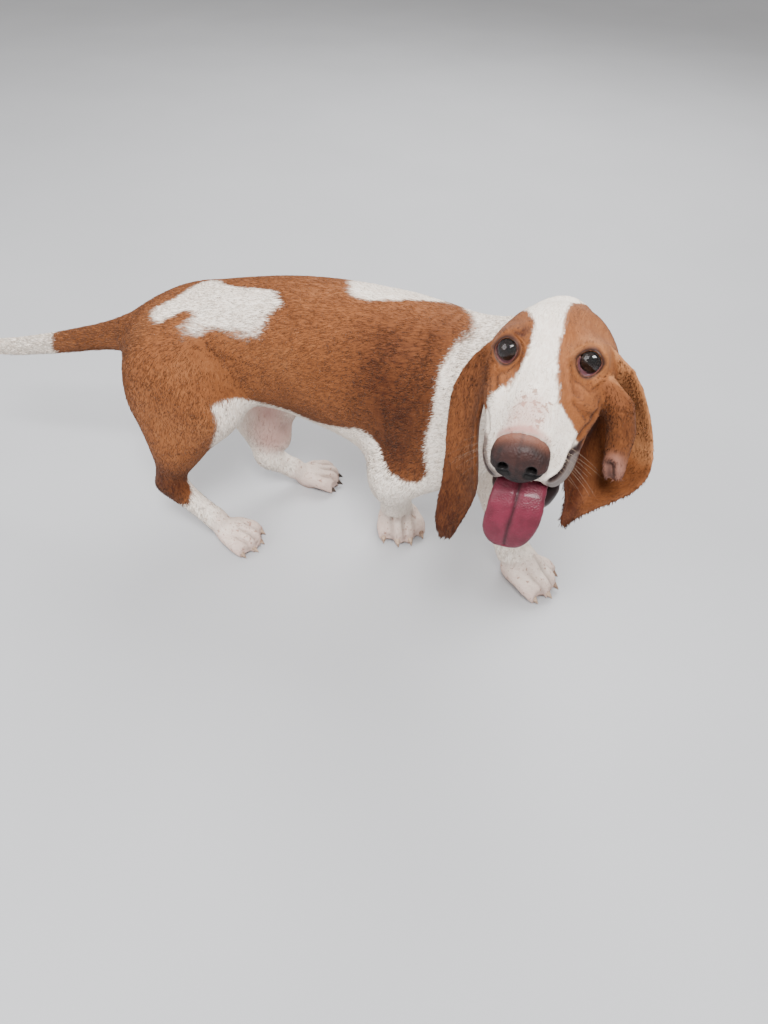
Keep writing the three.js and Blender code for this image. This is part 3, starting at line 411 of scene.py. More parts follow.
class Markings:
    """Patches of the coat, each as a smooth distance to its border in millimetres, with painted light and
    painted shade among them.
    """

    # Red tan on the right side, in plan along the body and up
    SADDLE_RIGHT = (
        (171, 363), (151, 352), (140, 332), (138, 305), (138, 277), (133, 257), (132, 229), (138, 217),
        (141, 201), (130, 190), (114, 182), (99, 185), (87, 194), (79, 205), (69, 213), (60, 231),
        (50, 239), (41, 219), (22, 214), (0, 204), (-21, 209), (-41, 216), (-66, 219), (-82, 223),
        (-101, 233), (-111, 234), (-128, 236), (-124, 229), (-116, 222), (-118, 204), (-133, 168),
        (-148, 128), (-172, 88), (-176, 64), (-240, 58), (-340, 150), (-340, 430), (171, 430),
    )
    # Red tan on the far side, guessed as a near mirror
    SADDLE_LEFT = (
        (171, 363), (150, 345), (146, 300), (150, 250), (146, 212), (122, 196), (95, 204), (60, 222),
        (20, 213), (-20, 208), (-56, 218), (-66, 236), (-92, 226), (-84, 190), (-104, 150), (-128, 104),
        (-160, 96), (-340, 150), (-340, 430), (171, 430),
    )
    # White over the croup and over the withers, seen from above
    CROUP = (
        (-215, -58), (-189, -56), (-175, -30), (-166, -4), (-157, 14), (-126, -31), (-106, -42), (-84, -47),
        (-65, -40), (-53, -49), (-42, -58), (-45, -71), (-42, -81), (-44, -90), (-56, -86), (-82, -91),
        (-98, -87), (-110, -84), (-126, -87), (-135, -93), (-148, -93), (-154, -104), (-160, -96),
        (-164, -89), (-152, -88), (-141, -81), (-147, -69), (-160, -65), (-171, -73), (-179, -83),
        (-188, -89),
    )
    WITHERS = (
        (13, -5), (24, -50), (33, -56), (47, -56), (55, -45), (66, -37), (79, -37), (93, -24), (106, -26),
        (122, -17), (128, -5), (100, 22), (60, 30), (25, 16),
    )
    LOW_TOP = 285.0
    TAIL_WHITE_X = -360.0
    # The mouth's inside, and small spots on the hind legs
    MOUTH = Spot((52, 0, -78), (56, 23, 24), (-1.0, 3.0))
    LEG_MARKS = (
        Spot((-78, -12, 131), (4.5, 4.5, 4.5), (-1.0, 1.5)),
        Spot((-104, -9, 94), (5.5, 5.5, 5.5), (-1.0, 1.5)),
    )
    # Thin-haired skin: the thigh's lobe, the groin, the ear's roll, and the bridge of the nose
    BODY_PINK = (
        Spot((-97, -8, 128), (34, 30, 44), (-9.0, 9.0), 0.8),
        Spot((-96, -30, 190), (42, 40, 34), (-10.0, 10.0), 0.8),
        Spot((306, -246, 342), (13, 12, 17), (-5.0, 6.0), 0.45),
    )
    BRIDGE = Spot((84, -4, -17), (24, 14, 14), (-7.0, 7.0), 0.6)
    # Deeper tan on the right hock and shoulder, partly the coat's own deeper tone and partly painted shade
    BODY_DEEP = (
        Spot((-205, -112, 96), (32, 26, 40), (-12.0, 8.0), 0.85),
        Spot((96, -110, 290), (66, 60, 96), (-40.0, 40.0), 0.75),
    )
    # Tan round each eye: lighter round the left eye, the coat's own lighter tan with painted light of the lit
    # side, and darker round the right eye as painted shade of the shaded side; and painted shade in the
    # wrinkles over the inner half of each brow
    EYE_TONES = (
        Spot((6, 30, 4), (30, 18, 22), (-6.0, 12.0), -0.4),
        Spot((6, -30, 4), (30, 18, 22), (-6.0, 12.0), 0.1),
        Spot((2, -23, 15), (8, 7, 8), (-5.0, 4.0), 0.22),
        Spot((8, 29, 12), (7, 7, 6), (-5.0, 4.0), 0.22),
    )
    # How many flecks there are: everywhere, on the muzzle, and on parts of the legs
    FEW_TICKS = 0.12
    MUZZLE_TICKS = Spot((78, -3, -18), (34, 20, 22), (-8.0, 8.0))
    LEG_TICKS = (
        (PAW_NODES, 0.8),
        (HOCK_NODES, 0.7),
        (("foreleg_left",), 0.5),
        (("thigh_right", "thigh_left"), 0.4),
    )

    def white(self, hide: Hide) -> np.ndarray:
        """Distance into the white parts of the coat.

        Args:
            hide: The skin's vertices.

        Returns:
            Millimetres, above zero where the coat is white.
        """
        p, h = hide.points, hide.head
        x, y, z = p.T
        right = polygon_field(x, z, self.SADDLE_RIGHT)
        left = polygon_field(x, z, self.SADDLE_LEFT)
        white = -np.where(y < MID_Y, right, left)
        top = ease(self.LOW_TOP - 8, self.LOW_TOP + 8, z)
        over = np.maximum(polygon_field(x, y, self.CROUP), polygon_field(x, y, self.WITHERS))
        over = np.minimum(over, -spot(p, (-64, -81, 332), (7, 6, 6)))
        white = np.where(top > 0.5, np.maximum(white, over), white)
        inner = np.where(hide.on("thigh_left", "hock_left"), -hide.normals[:, 1], hide.normals[:, 1])
        hind = hide.on(*HIND_NODES) & (z < 232)
        white = np.where(hind, np.maximum(white, 14.0 * inner - 3.0), white)
        white = np.where(hide.on("hock_left", "foreleg_left") & (z < 190), 12.0, white)
        white = np.where(hide.on(*PAW_NODES), 15.0, white)
        white = np.where(hide.on(*TAIL_NODES), self.TAIL_WHITE_X - x, white)
        white = np.where(hide.on(*EAR_NODES), -15.0, white)
        return np.where(hide.on(*FACE_NODES), 1.2 * self.face(h), white)

    @staticmethod
    def face(h: np.ndarray) -> np.ndarray:
        """Distance into the blaze, the muzzle's white and the throat's, in the head's frame."""
        x, y, z = h.T
        low = -17.0 - 0.32 * np.clip(x - 13.0, 0.0, 30.0) - 0.45 * np.clip(-x - 14.0, 0.0, 40.0)
        high = 5.5 + 0.21 * np.clip(x - 11.0, 0.0, 60.0) + 0.6 * np.clip(-x - 64.0, 0.0, 14.0)
        blaze = np.minimum(y - low, high - y)
        side = ease(-8.0, 16.0, y)
        muzzle = x - (41.0 + 19.0 * side) - 0.12 * np.clip(-z - 30.0, 0.0, 40.0) * side
        throat = -z - 66.0
        return np.maximum.reduce([blaze, muzzle, throat])

    def dark(self, hide: Hide) -> np.ndarray:
        """Share of near-black skin: lid rims, lips, mouth and small spots, with painted shade in the open end
        of the left ear's roll and, partly, in the grooves between the toes.
        """
        h = hide.head
        cavity = self.MOUTH.share(h) * hide.on(*HEAD_NODES)
        lips = sum(ease(3.7, 1.6, near_line(h, line)) for line in LIP_LINES) * hide.on("head")
        rise = hide.normals @ HEAD.along((0.0, 0.0, 1.0))
        gum = 0.85 * ease(-0.6, 0.0, rise) * hide.on("lower_jaw") * ease(20.0, 40.0, h[:, 0])
        gum += 0.8 * ease(-1.0, 3.0, self.below_lips(h)) * hide.on(*HEAD_NODES)
        marks = sum(mark.share(hide.points) for mark in self.LEG_MARKS)
        # Painted shade: near-black in the open end of the left ear's roll
        slit = 0.95 * ease(5.3, 3.7, near_line(hide.points, ROLL_SLIT)) * hide.on("ear_left")
        # Darker grooves between the toes: partly the skin's own darker tone, partly painted shade
        toes = sum(0.45 * paw.cleft(hide.points) * hide.on(paw.node) for paw in PAWS)
        return np.clip(cavity + lips + gum + marks + slit + toes + hide.on("nose"), 0.0, 1.0)

    def pink(self, hide: Hide) -> np.ndarray:
        """Share of bare or thin-haired pink skin."""
        p, h = hide.points, hide.head
        thin = sum(patch.share(p) for patch in self.BODY_PINK)
        bridge = self.BRIDGE.share(h) + 0.8 * ease(6.5, 1.5, near_line(h, NOSE_TOP)) * hide.on("head")
        toes = (0.28 + 0.3 * ease(34.0, 10.0, p[:, 2])) * hide.on(*PAW_NODES)
        under = 0.4 * ease(-2.0, 3.0, self.below_lips(h)) * hide.on(*HEAD_NODES)
        return np.clip(thin + bridge + toes + under, 0.0, 1.0)

    @staticmethod
    def below_lips(h: np.ndarray) -> np.ndarray:
        """Distance into the thin-haired strip below the lips' dark line, in the head's frame."""
        x, _, z = h.T
        line = -42.0 - 0.9 * np.clip(x - 78.0, 0.0, 30.0) - 0.32 * np.clip(78.0 - x, 0.0, 40.0)
        return np.minimum(line - z + 1.0, np.minimum(x - 44.0, np.abs(h[:, 1]) - 17.0))

    def shade(self, hide: Hide) -> np.ndarray:
        """How much deeper the red tan is, from -1 to 1: the coat's own tone with painted light and painted
        shade.
        """
        p, h = hide.points, hide.head
        ears = hide.on(*EAR_NODES) * (0.42 + 0.4 * ease(330.0, 210.0, p[:, 2]))
        # Painted shade on the left ear's inner face, low and towards the back, where it lies in shadow behind
        # the roll
        ears += 0.75 * hide.on("ear_left") * ease(298.0, 280.0, p[:, 0]) * ease(382.0, 366.0, p[:, 2])
        # Painted light: the upper outer flap of the left ear is made lighter against the shade it lies in
        middle = ease(322.0, 345.0, p[:, 2]) * ease(298.0, 310.0, p[:, 0])
        painted_light_flap = np.maximum(middle, ease(385.0, 400.0, p[:, 2]))
        ears -= 1.3 * hide.on("ear_left") * ease(-228.0, -218.0, p[:, 1]) * painted_light_flap
        body = sum(patch.share(p) for patch in self.BODY_DEEP)
        eyes = sum(patch.share(h) for patch in self.EYE_TONES)
        # Painted shade lower on the trunk
        belly = 0.3 * ease(250.0, 210.0, p[:, 2]) * hide.on("loin", "chest")
        # Painted shade in the face's folds
        face = sum(crease.hollow(h) for crease in FACE_CREASES) * hide.on("head")
        total = ears + body + eyes * hide.on("head") + belly + 0.55 * face
        return np.clip(total, -1.0, 1.0)

    def ticks(self, hide: Hide) -> np.ndarray:
        """Share of small brown flecks in the white."""
        few = self.FEW_TICKS + self.MUZZLE_TICKS.share(hide.head)
        for nodes, much in self.LEG_TICKS:
            few += much * hide.on(*nodes)
        flecks = sum(Spot(at, (r, r, r), (-1.6, 1.6), 0.9).share(hide.head) for at, r in BRIDGE_FLECKS)
        return np.clip(few, 0.0, 1.0) + flecks


class Lie:
    """Direction in which the hair lies on each part."""

    TRUNK = (-1.0, 0.0, -0.35)
    NECK = (-0.62, 0.45, -0.64)
    LEG = (-0.25, 0.0, -1.0)
    TAIL = (-0.93, 0.0, -0.36)

    def field(self, hide: Hide) -> np.ndarray:
        """Unit directions in the skin's own plane.

        Args:
            hide: The skin's vertices.

        Returns:
            One direction for each vertex.
        """
        out = np.tile(np.array(self.TRUNK), (len(hide.points), 1))
        down = ease(340.0, 230.0, hide.points[:, 2])
        out[:, 2] -= 0.35 * down
        out[hide.on("neck")] = self.NECK
        out[hide.on(*LEG_NODES)] = self.LEG
        out[hide.on(*TAIL_NODES)] = self.TAIL
        out[hide.on(*EAR_NODES)] = (0.0, 0.05, -1.0)
        for paw in PAWS:
            out[hide.on(paw.node)] = paw.axes.along((1.0, 0.0, -0.55))
        head = hide.on(*FACE_NODES)
        back = HEAD.along((-1.0, 0.0, 0.1))
        side = np.clip(np.abs(hide.head[:, 1:2]) / 40.0, 0.0, 1.0)
        fall = back + side * HEAD.along((0.0, 0.0, -1.0)) * 0.7
        out[head] = fall[head]
        out = relax(unit(out), hide.edges, 24)
        out -= hide.normals * (out * hide.normals).sum(1, keepdims=True)
        return unit(out)


@dataclass(frozen=True)
class Lids:
    """Upper and lower lid of one eye, the pink inner edge below and the folds round them."""

    side: int
    slide: float
    drop: float
    inner_edge: float = 0.0
    half_wide: float = 9.4
    upper: float = 9.2
    lower: float = 11.2
    thick: float = 1.0
    reach: float = 2.2
    droop: float = 6.0
    edge: float = 10.8

    @property
    def centre(self) -> np.ndarray:
        """The eye's centre in the head's frame."""
        return np.array([0.0, self.side * EYE_SPREAD, 0.0])

    def axes(self) -> tuple[np.ndarray, np.ndarray, np.ndarray]:
        """Outward, sideways and upward axes of the opening, in the head's frame."""
        out = unit(np.array([0.92, 0.10 * self.side, 0.33]))
        level = unit(np.cross(np.array([0.0, 0.0, 1.0]), out))
        turn = -self.side * math.radians(self.droop)
        across = level * math.cos(turn) + np.cross(out, level) * math.sin(turn)
        return out, across, np.cross(out, across)

    def shape(self, head: np.ndarray) -> tuple[np.ndarray, np.ndarray, np.ndarray]:
        """Moves the skin near the eye into two lids.

        Args:
            head: Skin places in the head's frame.

        Returns:
            New places, the share of dark rim, which above the eye also holds painted shadow of the upper lid
            with its lashes, and the share of pink inner edge.
        """
        out, across, up = self.axes()
        q = head - self.centre
        u, x, y = q @ out, q @ across - self.slide, q @ up + self.drop
        flat = np.minimum(np.hypot(q @ across, q @ up), self.edge)
        ends = np.clip(x / self.half_wide, -1.0, 1.0) ** 2
        tall = np.where(y > 0, self.upper, self.lower) * (1.0 - 0.16 * ends)
        rho = np.hypot(x / self.half_wide, y / tall)
        near = (rho < self.reach) & (u > -3.0) & (np.linalg.norm(q, axis=1) < 30.0)
        ball = np.sqrt(np.maximum(EYE_RADIUS**2 - flat**2, 0.0))
        cover = np.sqrt(np.maximum((EYE_RADIUS + self.thick) ** 2 - flat**2, 0.0))
        hidden = np.minimum(ball - 2.6, 4.0)
        low_edge = 0.70 + 0.17 * np.abs(x) / self.half_wide - self.inner_edge * (x * self.side < 0)
        low_edge += 0.04 * ease(-2.0, 4.0, y)
        shelf = np.where(y < 3.0, ease(low_edge, low_edge + 0.08, rho), ease(0.92, 0.99, rho))
        inner = hidden + shelf * (ball + 0.35 - hidden)
        roll = ease(0.95, 1.06, rho)
        lid = inner * (1.0 - roll) + (cover + 0.2 * np.exp(-(((rho - 1.16) / 0.14) ** 2))) * roll
        fold = -0.6 * np.exp(-(((rho - 1.5) / 0.13) ** 2))
        keep = ease(1.12, self.reach - 0.35, rho)
        target = lid * (1.0 - keep) + u * keep + fold * (1.0 - ease(1.6, self.reach, rho))
        moved = head + np.where(near, target - u, 0.0)[:, None] * out
        # Above the eye the dark rim reaches further: the lid's rim and lashes, with painted shadow of the
        # upper lid
        soft = np.where(y > 0, 1.62, 1.36)
        rim = near * ease(0.97, 1.03, rho) * (1.0 - ease(1.02, soft, rho))
        corner = 0.5 * np.exp(-(((x * self.side + 11.0) / 4.5) ** 2) - ((y + 1.0) / 5.0) ** 2)
        rim = np.maximum(rim, near * corner * ease(0.97, 1.03, rho))
        pink = near * (1.0 - ease(0.96, 1.02, rho)) * ease(5.0, 2.0, y)
        return moved, rim, pink

    def refine_zone(self, head: np.ndarray) -> np.ndarray:
        """True for places close enough to the opening to need finer faces."""
        return np.linalg.norm(head - self.centre, axis=1) < 19.0


# Edge of the upper lip on each side, in the head's frame
LIP_LINES = (
    ((46, 39, -48), (63, 36, -46), (73, 33, -43), (80, 31, -44), (85, 30, -48), (89, 28, -53), (97, 22, -59)),
    ((46, -39, -52), (63, -37, -54), (73, -34, -56), (85, -30, -60), (94, -23, -66)),
)
# Where the nose meets the bridge, in the head's frame
NOSE_TOP = ((91, -21, -32), (99, -13, -24), (101, -4, -21), (101, 5, -21), (100, 14, -26))
# Soft brown flecks on the bridge, in the head's frame, with their radius
BRIDGE_FLECKS = (
    ((71, -11, -13), 3.6), ((73, 1, -11), 3.6), ((59, -3, -8), 2.8), ((32, 3, -1), 2.4),
    ((93, 5, -17), 4.2), ((80, 7, -14), 3.4), ((64, -9, -11), 2.6), ((45, 5, -4), 2.4),
)
# Open end of the ear's rolled margin, in the body's frame, pressed in and painted near-black as shade
ROLL_SLIT = ((304, -246, 349), (306, -250, 343), (307, -251, 337))
# Fold lines of the face, in the head's frame
FACE_CREASES = (
    Crease(((10, -42, -11), (25, -38, -15), (40, -35, -19)), 2.2, 1.2),
    Crease(((12, -26, 0), (17, -22, -5), (30, -22, -10), (44, -24, -16)), 2.2, 1.2),
    Crease(((15, 21, -3), (29, 23, -10), (39, 27, -15)), 2.6, 1.2),
    Crease(((24, 25, -10), (28, 36, -14), (13, 43, -15)), 2.0, 1.3),
    Crease(((45, 27, -19), (45, 37, -28), (31, 44, -31)), 2.4, 1.4),
    Crease(LIP_LINES[0], 2.2, 1.6),
    Crease(LIP_LINES[1], 2.2, 1.6),
    Crease(((23, 45, -27), (39, 41, -34), (52, 36, -40), (73, 32, -42)), 2.6, 1.3),
    Crease(((23, -45, -27), (39, -41, -34), (52, -36, -40), (73, -32, -42)), 2.6, 1.0),
    Crease(((2, -31, 15), (3, -23, 15), (-10, -22, 18)), 2.6, 0.7),
    Crease(((9, 23, 10), (7, 30, 14), (7, 37, 11)), 2.6, 0.7),
)
# Fold lines of the body, in the body's frame
BODY_CREASES = (
    Crease(((110, -100, 340), (106, -113, 323), (86, -118, 280), (79, -109, 216)), 14.0, 2.2),
    Crease(((-128, -98, 292), (-112, -96, 277), (-104, -95, 246)), 12.0, 1.8),
    Crease(((150, -100, 345), (150, -118, 300), (146, -122, 250)), 12.0, 1.2),
)


class Skin:
    """One skin over all the flesh, made from the solids and shaped like a sculptor does."""

    VOXEL = 0.0018
    GROW = 0.3
    DEPTH = 0.35
    FACES = 82000
    EDGE_ROUNDS = 8
    # What is lower than this on a paw is sole, and lies this high above the floor
    SOLE = 3.0
    FLOOR = 0.15
    # The left side of the skull, which the photo shows flatter than the solid
    SKULL = Spot((-20, 25, 15), (26, 20, 20), (-8.0, 8.0), 2.4)

    def __init__(self) -> None:
        """Sets up the two pairs of lids."""
        self.lids = (Lids(-1, -1.6, 0.7), Lids(1, -2.2, 2.2, inner_edge=0.12))

    def gather(self) -> bpy.types.Object:
        """Copies the solids of flesh and joins them into one closed mesh."""
        copies = []
        for name in FLESH_NODES + FILLED_NODES:
            copies.append(link("flesh_" + name, frame["nodes"][name].data.copy()))
        skin = join(copies, "skin")
        weld(skin)
        mesh = skin.data
        set_points(mesh, points_of(mesh) + normals_of(mesh) * self.GROW * MM)
        modify(skin, "fuse", "REMESH", mode="VOXEL", voxel_size=self.VOXEL)
        return skin

    @staticmethod
    def nearest_part(points: np.ndarray) -> np.ndarray:
        """Number of the solid nearest to each point, in part metres."""
        places, owners = [], []
        for name in PART_NAMES:
            mesh = frame["nodes"][name].data
            co = points_of(mesh)
            corners = np.empty(len(mesh.loops), np.int64)
            mesh.loops.foreach_get("vertex_index", corners)
            middles = co[corners.reshape(-1, 3)].mean(1)
            both = np.concatenate([co, middles])
            places.append(both)
            owners.append(np.full(len(both), PART_NUMBER[name]))
        cloud, owner = np.concatenate(places), np.concatenate(owners)
        tree = KDTree(len(cloud))
        for k, co in enumerate(cloud):
            tree.insert(co, k)
        tree.balance()
        return np.array([owner[tree.find(co)[1]] for co in points])

    def outer_shell(self, skin: bpy.types.Object) -> None:
        """Removes the small closed pockets that the fusing leaves inside."""
        edges = edges_of(skin.data)
        count = len(skin.data.vertices)
        group = np.arange(count)
        for _ in range(400):
            low = np.minimum(group[edges[:, 0]], group[edges[:, 1]])
            before = group.copy()
            np.minimum.at(group, edges[:, 0], low)
            np.minimum.at(group, edges[:, 1], low)
            group = group[group]
            if (group == before).all():
                break
        main = np.bincount(group).argmax()
        drop = group != main
        LOG.info("skin pockets removed: %d vertices", int(drop.sum()))
        activate(skin)
        bpy.ops.object.mode_set(mode="EDIT")
        bpy.ops.mesh.select_all(action="DESELECT")
        bpy.ops.object.mode_set(mode="OBJECT")
        skin.data.vertices.foreach_set("select", drop)
        bpy.ops.object.mode_set(mode="EDIT")
        bpy.ops.mesh.delete(type="VERT")
        bpy.ops.object.mode_set(mode="OBJECT")

    def thin_out(self, skin: bpy.types.Object, part: np.ndarray) -> None:
        """Makes the faces larger where the body is plain, and keeps them on head, ears and paws."""
        plain = ~np.isin(part, [PART_NUMBER[n] for n in HEAD_NODES + EAR_NODES + PAW_NODES + FILLED_NODES])
        group = skin.vertex_groups.new(name="plain")
        group.add(np.flatnonzero(plain).tolist(), 1.0, "REPLACE")
        triangles = sum(len(p.vertices) - 2 for p in skin.data.polygons)
        ratio = min(1.0, 2.0 * self.FACES / triangles)
        modify(skin, "thin", "DECIMATE", ratio=ratio, vertex_group=group.name)
        skin.vertex_groups.clear()

    def refine(self, skin: bpy.types.Object, near: Callable[[np.ndarray], np.ndarray]) -> None:
        """Halves the faces whose middle is near a fine form."""
        mesh = skin.data
        activate(skin)
        bpy.ops.object.mode_set(mode="EDIT")
        bpy.ops.mesh.select_all(action="DESELECT")
        bpy.ops.mesh.select_mode(type="FACE")
        bpy.ops.object.mode_set(mode="OBJECT")
        middles = np.empty(len(mesh.polygons) * 3)
        mesh.polygons.foreach_get("center", middles)
        chosen = near(HEAD.into(into_body(middles.reshape(-1, 3))))
        mesh.polygons.foreach_set("select", chosen)
        bpy.ops.object.mode_set(mode="EDIT")
        bpy.ops.mesh.subdivide(number_cuts=1, smoothness=0.0)
        bpy.ops.mesh.select_all(action="SELECT")
        bpy.ops.mesh.quads_convert_to_tris()
        bpy.ops.mesh.select_mode(type="VERT")
        bpy.ops.object.mode_set(mode="OBJECT")

    def toes(self, hide: Hide) -> np.ndarray:
        """Draws the claws' stubs back into the toes, and cuts the grooves between toes."""
        points = hide.points.copy()
        ends = np.zeros(len(points))
        for paw in PAWS:
            on = hide.on(paw.node)
            q = paw.axes.into(points) / paw.size
            push = -3.6 * paw.cleft(points)
            for k, reach in paw.toes():
                stub = reach - 1.0
                side = np.hypot(q[:, 1] - 17.2 * k, q[:, 2] - 10.5)
                over = np.clip(q[:, 0] - stub, 0.0, None) * (side < 8.5)
                q[:, 0] -= np.where(over > 0, over * 0.75, 0.0)
                ends = np.maximum(ends, on * ease(13.0, 9.0, side) * ease(-7.0, -2.0, q[:, 0] - stub))
            drawn = paw.axes.out(q * paw.size) + hide.normals * push[:, None]
            points[on] = drawn[on]
        return relax(points, hide.edges, 8, 0.5 * ends)

    def model(self) -> tuple[bpy.types.Object, Hide]:
        """Makes the skin and all its forms.

        Returns:
            The skin and what its vertices know.
        """
        skin = self.gather()
        self.outer_shell(skin)
        mesh = skin.data
        set_points(mesh, relax(points_of(mesh), edges_of(mesh), self.EDGE_ROUNDS))
        part = self.nearest_part(points_of(mesh))
        self.thin_out(skin, part)
        mesh = skin.data
        LOG.info("skin thinned to %d faces", len(mesh.polygons))
        part = self.nearest_part(points_of(mesh))
        fine = np.isin(part, [PART_NUMBER[n] for n in HEAD_NODES + PAW_NODES + FILLED_NODES])
        weight = relax(np.where(fine, 0.22, 0.5)[:, None], edges_of(mesh), 4)[:, 0]
        set_points(mesh, relax(points_of(mesh), edges_of(mesh), 16, weight))
        self.refine(skin, lambda head: self.lids[0].refine_zone(head) | self.lids[1].refine_zone(head))
        self.refine(skin, self.mouth_zone)
        hide = Hide(
            into_body(points_of(mesh)), normals_of(mesh), self.nearest_part(points_of(mesh)), edges_of(mesh)
        )
        return skin, self.sculpt(mesh, hide)

    @staticmethod
    def mouth_zone(head: np.ndarray) -> np.ndarray:
        """True near the lips and on the muzzle's folds."""
        lips = near_line(head, ((96, 22, -66), (82, 33, -50), (48, 40, -48)))
        return (lips < 12.0) & (head[:, 0] > 30.0)

    def sculpt(self, mesh: bpy.types.Mesh, hide: Hide) -> Hide:
        """Adds folds, lids and toes, and lowers the skin by the coat's depth."""
        points = self.toes(hide)
        head = HEAD.into(points)
        on_head = hide.on(*FACE_NODES)
        push = sum(crease.push(head) for crease in FACE_CREASES) * on_head
        push += sum(crease.push(points) for crease in BODY_CREASES) * ~on_head
        push -= 3.0 * hide.on("nose")
        push += Crease(ROLL_SLIT, 3.0, 4.0).push(points) * hide.on("ear_left")
        push -= self.SKULL.share(head) * on_head
        push -= self.DEPTH * ~on_head
        points += hide.normals * push[:, None]
        head = HEAD.into(points)
        lower_lip = hide.on("lower_jaw") * ease(42.0, 58.0, head[:, 0]) * ease(-110.0, -98.0, head[:, 2])
        head[:, 1] += 5.5 * np.sign(head[:, 1]) * lower_lip * ease(6.0, 18.0, np.abs(head[:, 1]))
        rims, pinks = [], []
        for lids in self.lids:
            head, rim, pink = lids.shape(head)
            rims.append(rim * on_head)
            pinks.append(pink * on_head)
        points = np.where(on_head[:, None], HEAD.out(head), points)
        low = hide.on(*PAW_NODES) & (points[:, 2] < self.SOLE)
        points[low, 2] = self.FLOOR
        points[:, 2] = np.maximum(points[:, 2], self.FLOOR)
        set_points(mesh, out_of_body(points))
        shaped = Hide(points, normals_of(mesh), hide.part, hide.edges)
        self.mask(mesh, shaped, sum(rims), sum(pinks))
        return shaped

    @staticmethod
    def mask(mesh: bpy.types.Mesh, hide: Hide, rim: np.ndarray, haw: np.ndarray) -> None:
        """Stores the coat's masks on the skin.

        Args:
            mesh: The skin's mesh.
            hide: The skin's vertices.
            rim: Share of dark lid rim, with painted shadow of the upper lid above the eye.
            haw: Share of pink inner lid.
        """
        marks = Markings()
        ways = (marks.white, marks.dark, marks.pink, marks.shade, marks.ticks)
        rows = np.stack([way(hide) for way in ways], 1)
        rows = relax(rows, hide.edges, 3)
        rows[:, 1] = np.clip(rows[:, 1] + rim, 0.0, 1.0) * (1.0 - haw)
        store(mesh, "haw", haw)
        for k, name in enumerate(MASKS):
            store(mesh, name, rows[:, k])
        store(mesh, "lie", Lie().field(hide))


class Atlas:
    """Unwrap of the skin's own shape: each part rolled off round its own long axis."""

    MARGIN = 0.008
    LAYER = "OFBake"

    def unwrap(self, mesh: bpy.types.Mesh, hide: Hide) -> np.ndarray:
        """Writes the map on the skin.

        Args:
            mesh: The skin, all triangles.
            hide: The skin's vertices.

        Returns:
            Map places of the three corners of each triangle.
        """
        corners = np.empty(len(mesh.loops), np.int64)
        mesh.loops.foreach_get("vertex_index", corners)
        tri = corners.reshape(-1, 3)
        owner = hide.part[tri[:, 0]]
        flat = np.zeros((len(tri), 3, 2))
        sizes = []
        for number in range(len(PART_NAMES)):
            mine = np.flatnonzero(owner == number)
            if not len(mine):
                sizes.append((0.0, 0.0))
                continue
            q = hide.points[tri[mine]]
            centre = q.reshape(-1, 3).mean(0)
            _, _, axes = np.linalg.svd(q[::5].reshape(-1, 3) - centre, full_matrices=False)
            local = (q - centre) @ axes.T
            radius = np.hypot(local[..., 1], local[..., 2]).mean()
            turn = np.arctan2(local[..., 2], local[..., 1])
            turn = np.where(turn - turn[:, :1] > math.pi, turn - 2 * math.pi, turn)
            turn = np.where(turn - turn[:, :1] < -math.pi, turn + 2 * math.pi, turn)
            run = local[..., 0] - local[..., 0].min()
            flat[mine] = np.stack([(turn + math.pi) * radius + radius, run], -1)
            sizes.append((2 * (math.pi + 1) * radius, run.max()))
        places, scale = self.pack(sizes)
        uv = flat * scale + np.array(places)[owner][:, None, :]
        layer = mesh.uv_layers.new(name=self.LAYER)
        layer.data.foreach_set("uv", uv.astype(np.float32).ravel())
        return uv

    def pack(self, sizes: list[tuple[float, float]]) -> tuple[list[tuple[float, float]], float]:
        """Sets the parts' rectangles in rows inside the unit square.

        Args:
            sizes: Width and height of each rectangle in millimetres.

        Returns:
            The corner of each rectangle, and the scale from millimetres to the map.
        """
        order = sorted(range(len(sizes)), key=lambda k: -sizes[k][1])
        scale = 1.0 / max(max(w, h) for w, h in sizes)
        while True:
            x = y = self.MARGIN
            row = 0.0
            places = [(0.0, 0.0)] * len(sizes)
            for k in order:
                wide, tall = sizes[k][0] * scale, sizes[k][1] * scale
                if x + wide > 1.0 - self.MARGIN:
                    x, y, row = self.MARGIN, y + row + self.MARGIN, 0.0
                places[k] = (x, y)
                x += wide + self.MARGIN
                row = max(row, tall)
            widest = max(w for w, _ in sizes) * scale
            if y + row < 1.0 - self.MARGIN and widest < 1.0 - 2 * self.MARGIN:
                return places, scale
            scale *= 0.97


@dataclass(frozen=True)
class TuftKind:
    """Size and spacing of the tufts on one group of parts."""

    name: str
    nodes: tuple
    length: float
    width: float
    tilt: float
    area: float
    most: int = 32500


TUFT_KINDS = (
    TuftKind("coat_loin", ("loin",), 7.0, 0.95, 5.5, 2.6),
    TuftKind("coat_chest", ("chest",), 7.0, 0.95, 5.5, 2.6),
    TuftKind("coat_neck", ("neck",), 6.6, 0.95, 5.5, 2.6, 26000),
    TuftKind("coat_hind_legs", ("thigh_right", "thigh_left", "hock_right", "hock_left"), 6.8, 0.95, 5.0, 2.6),
    TuftKind("coat_fore_legs", ("foreleg_right", "foreleg_left"), 5.4, 0.85, 5.0, 2.4, 25000),
    TuftKind("coat_paws", PAW_NODES, 3.0, 0.6, 7.0, 1.8, 16000),
    TuftKind("coat_head", HEAD_NODES, 3.4, 0.6, 5.5, 1.35),
    TuftKind("coat_ears", EAR_NODES, 4.4, 0.75, 5.0, 2.0, 30000),
    TuftKind("coat_tail", TAIL_NODES, 9.5, 1.1, 8.0, 2.4, 16000),
)


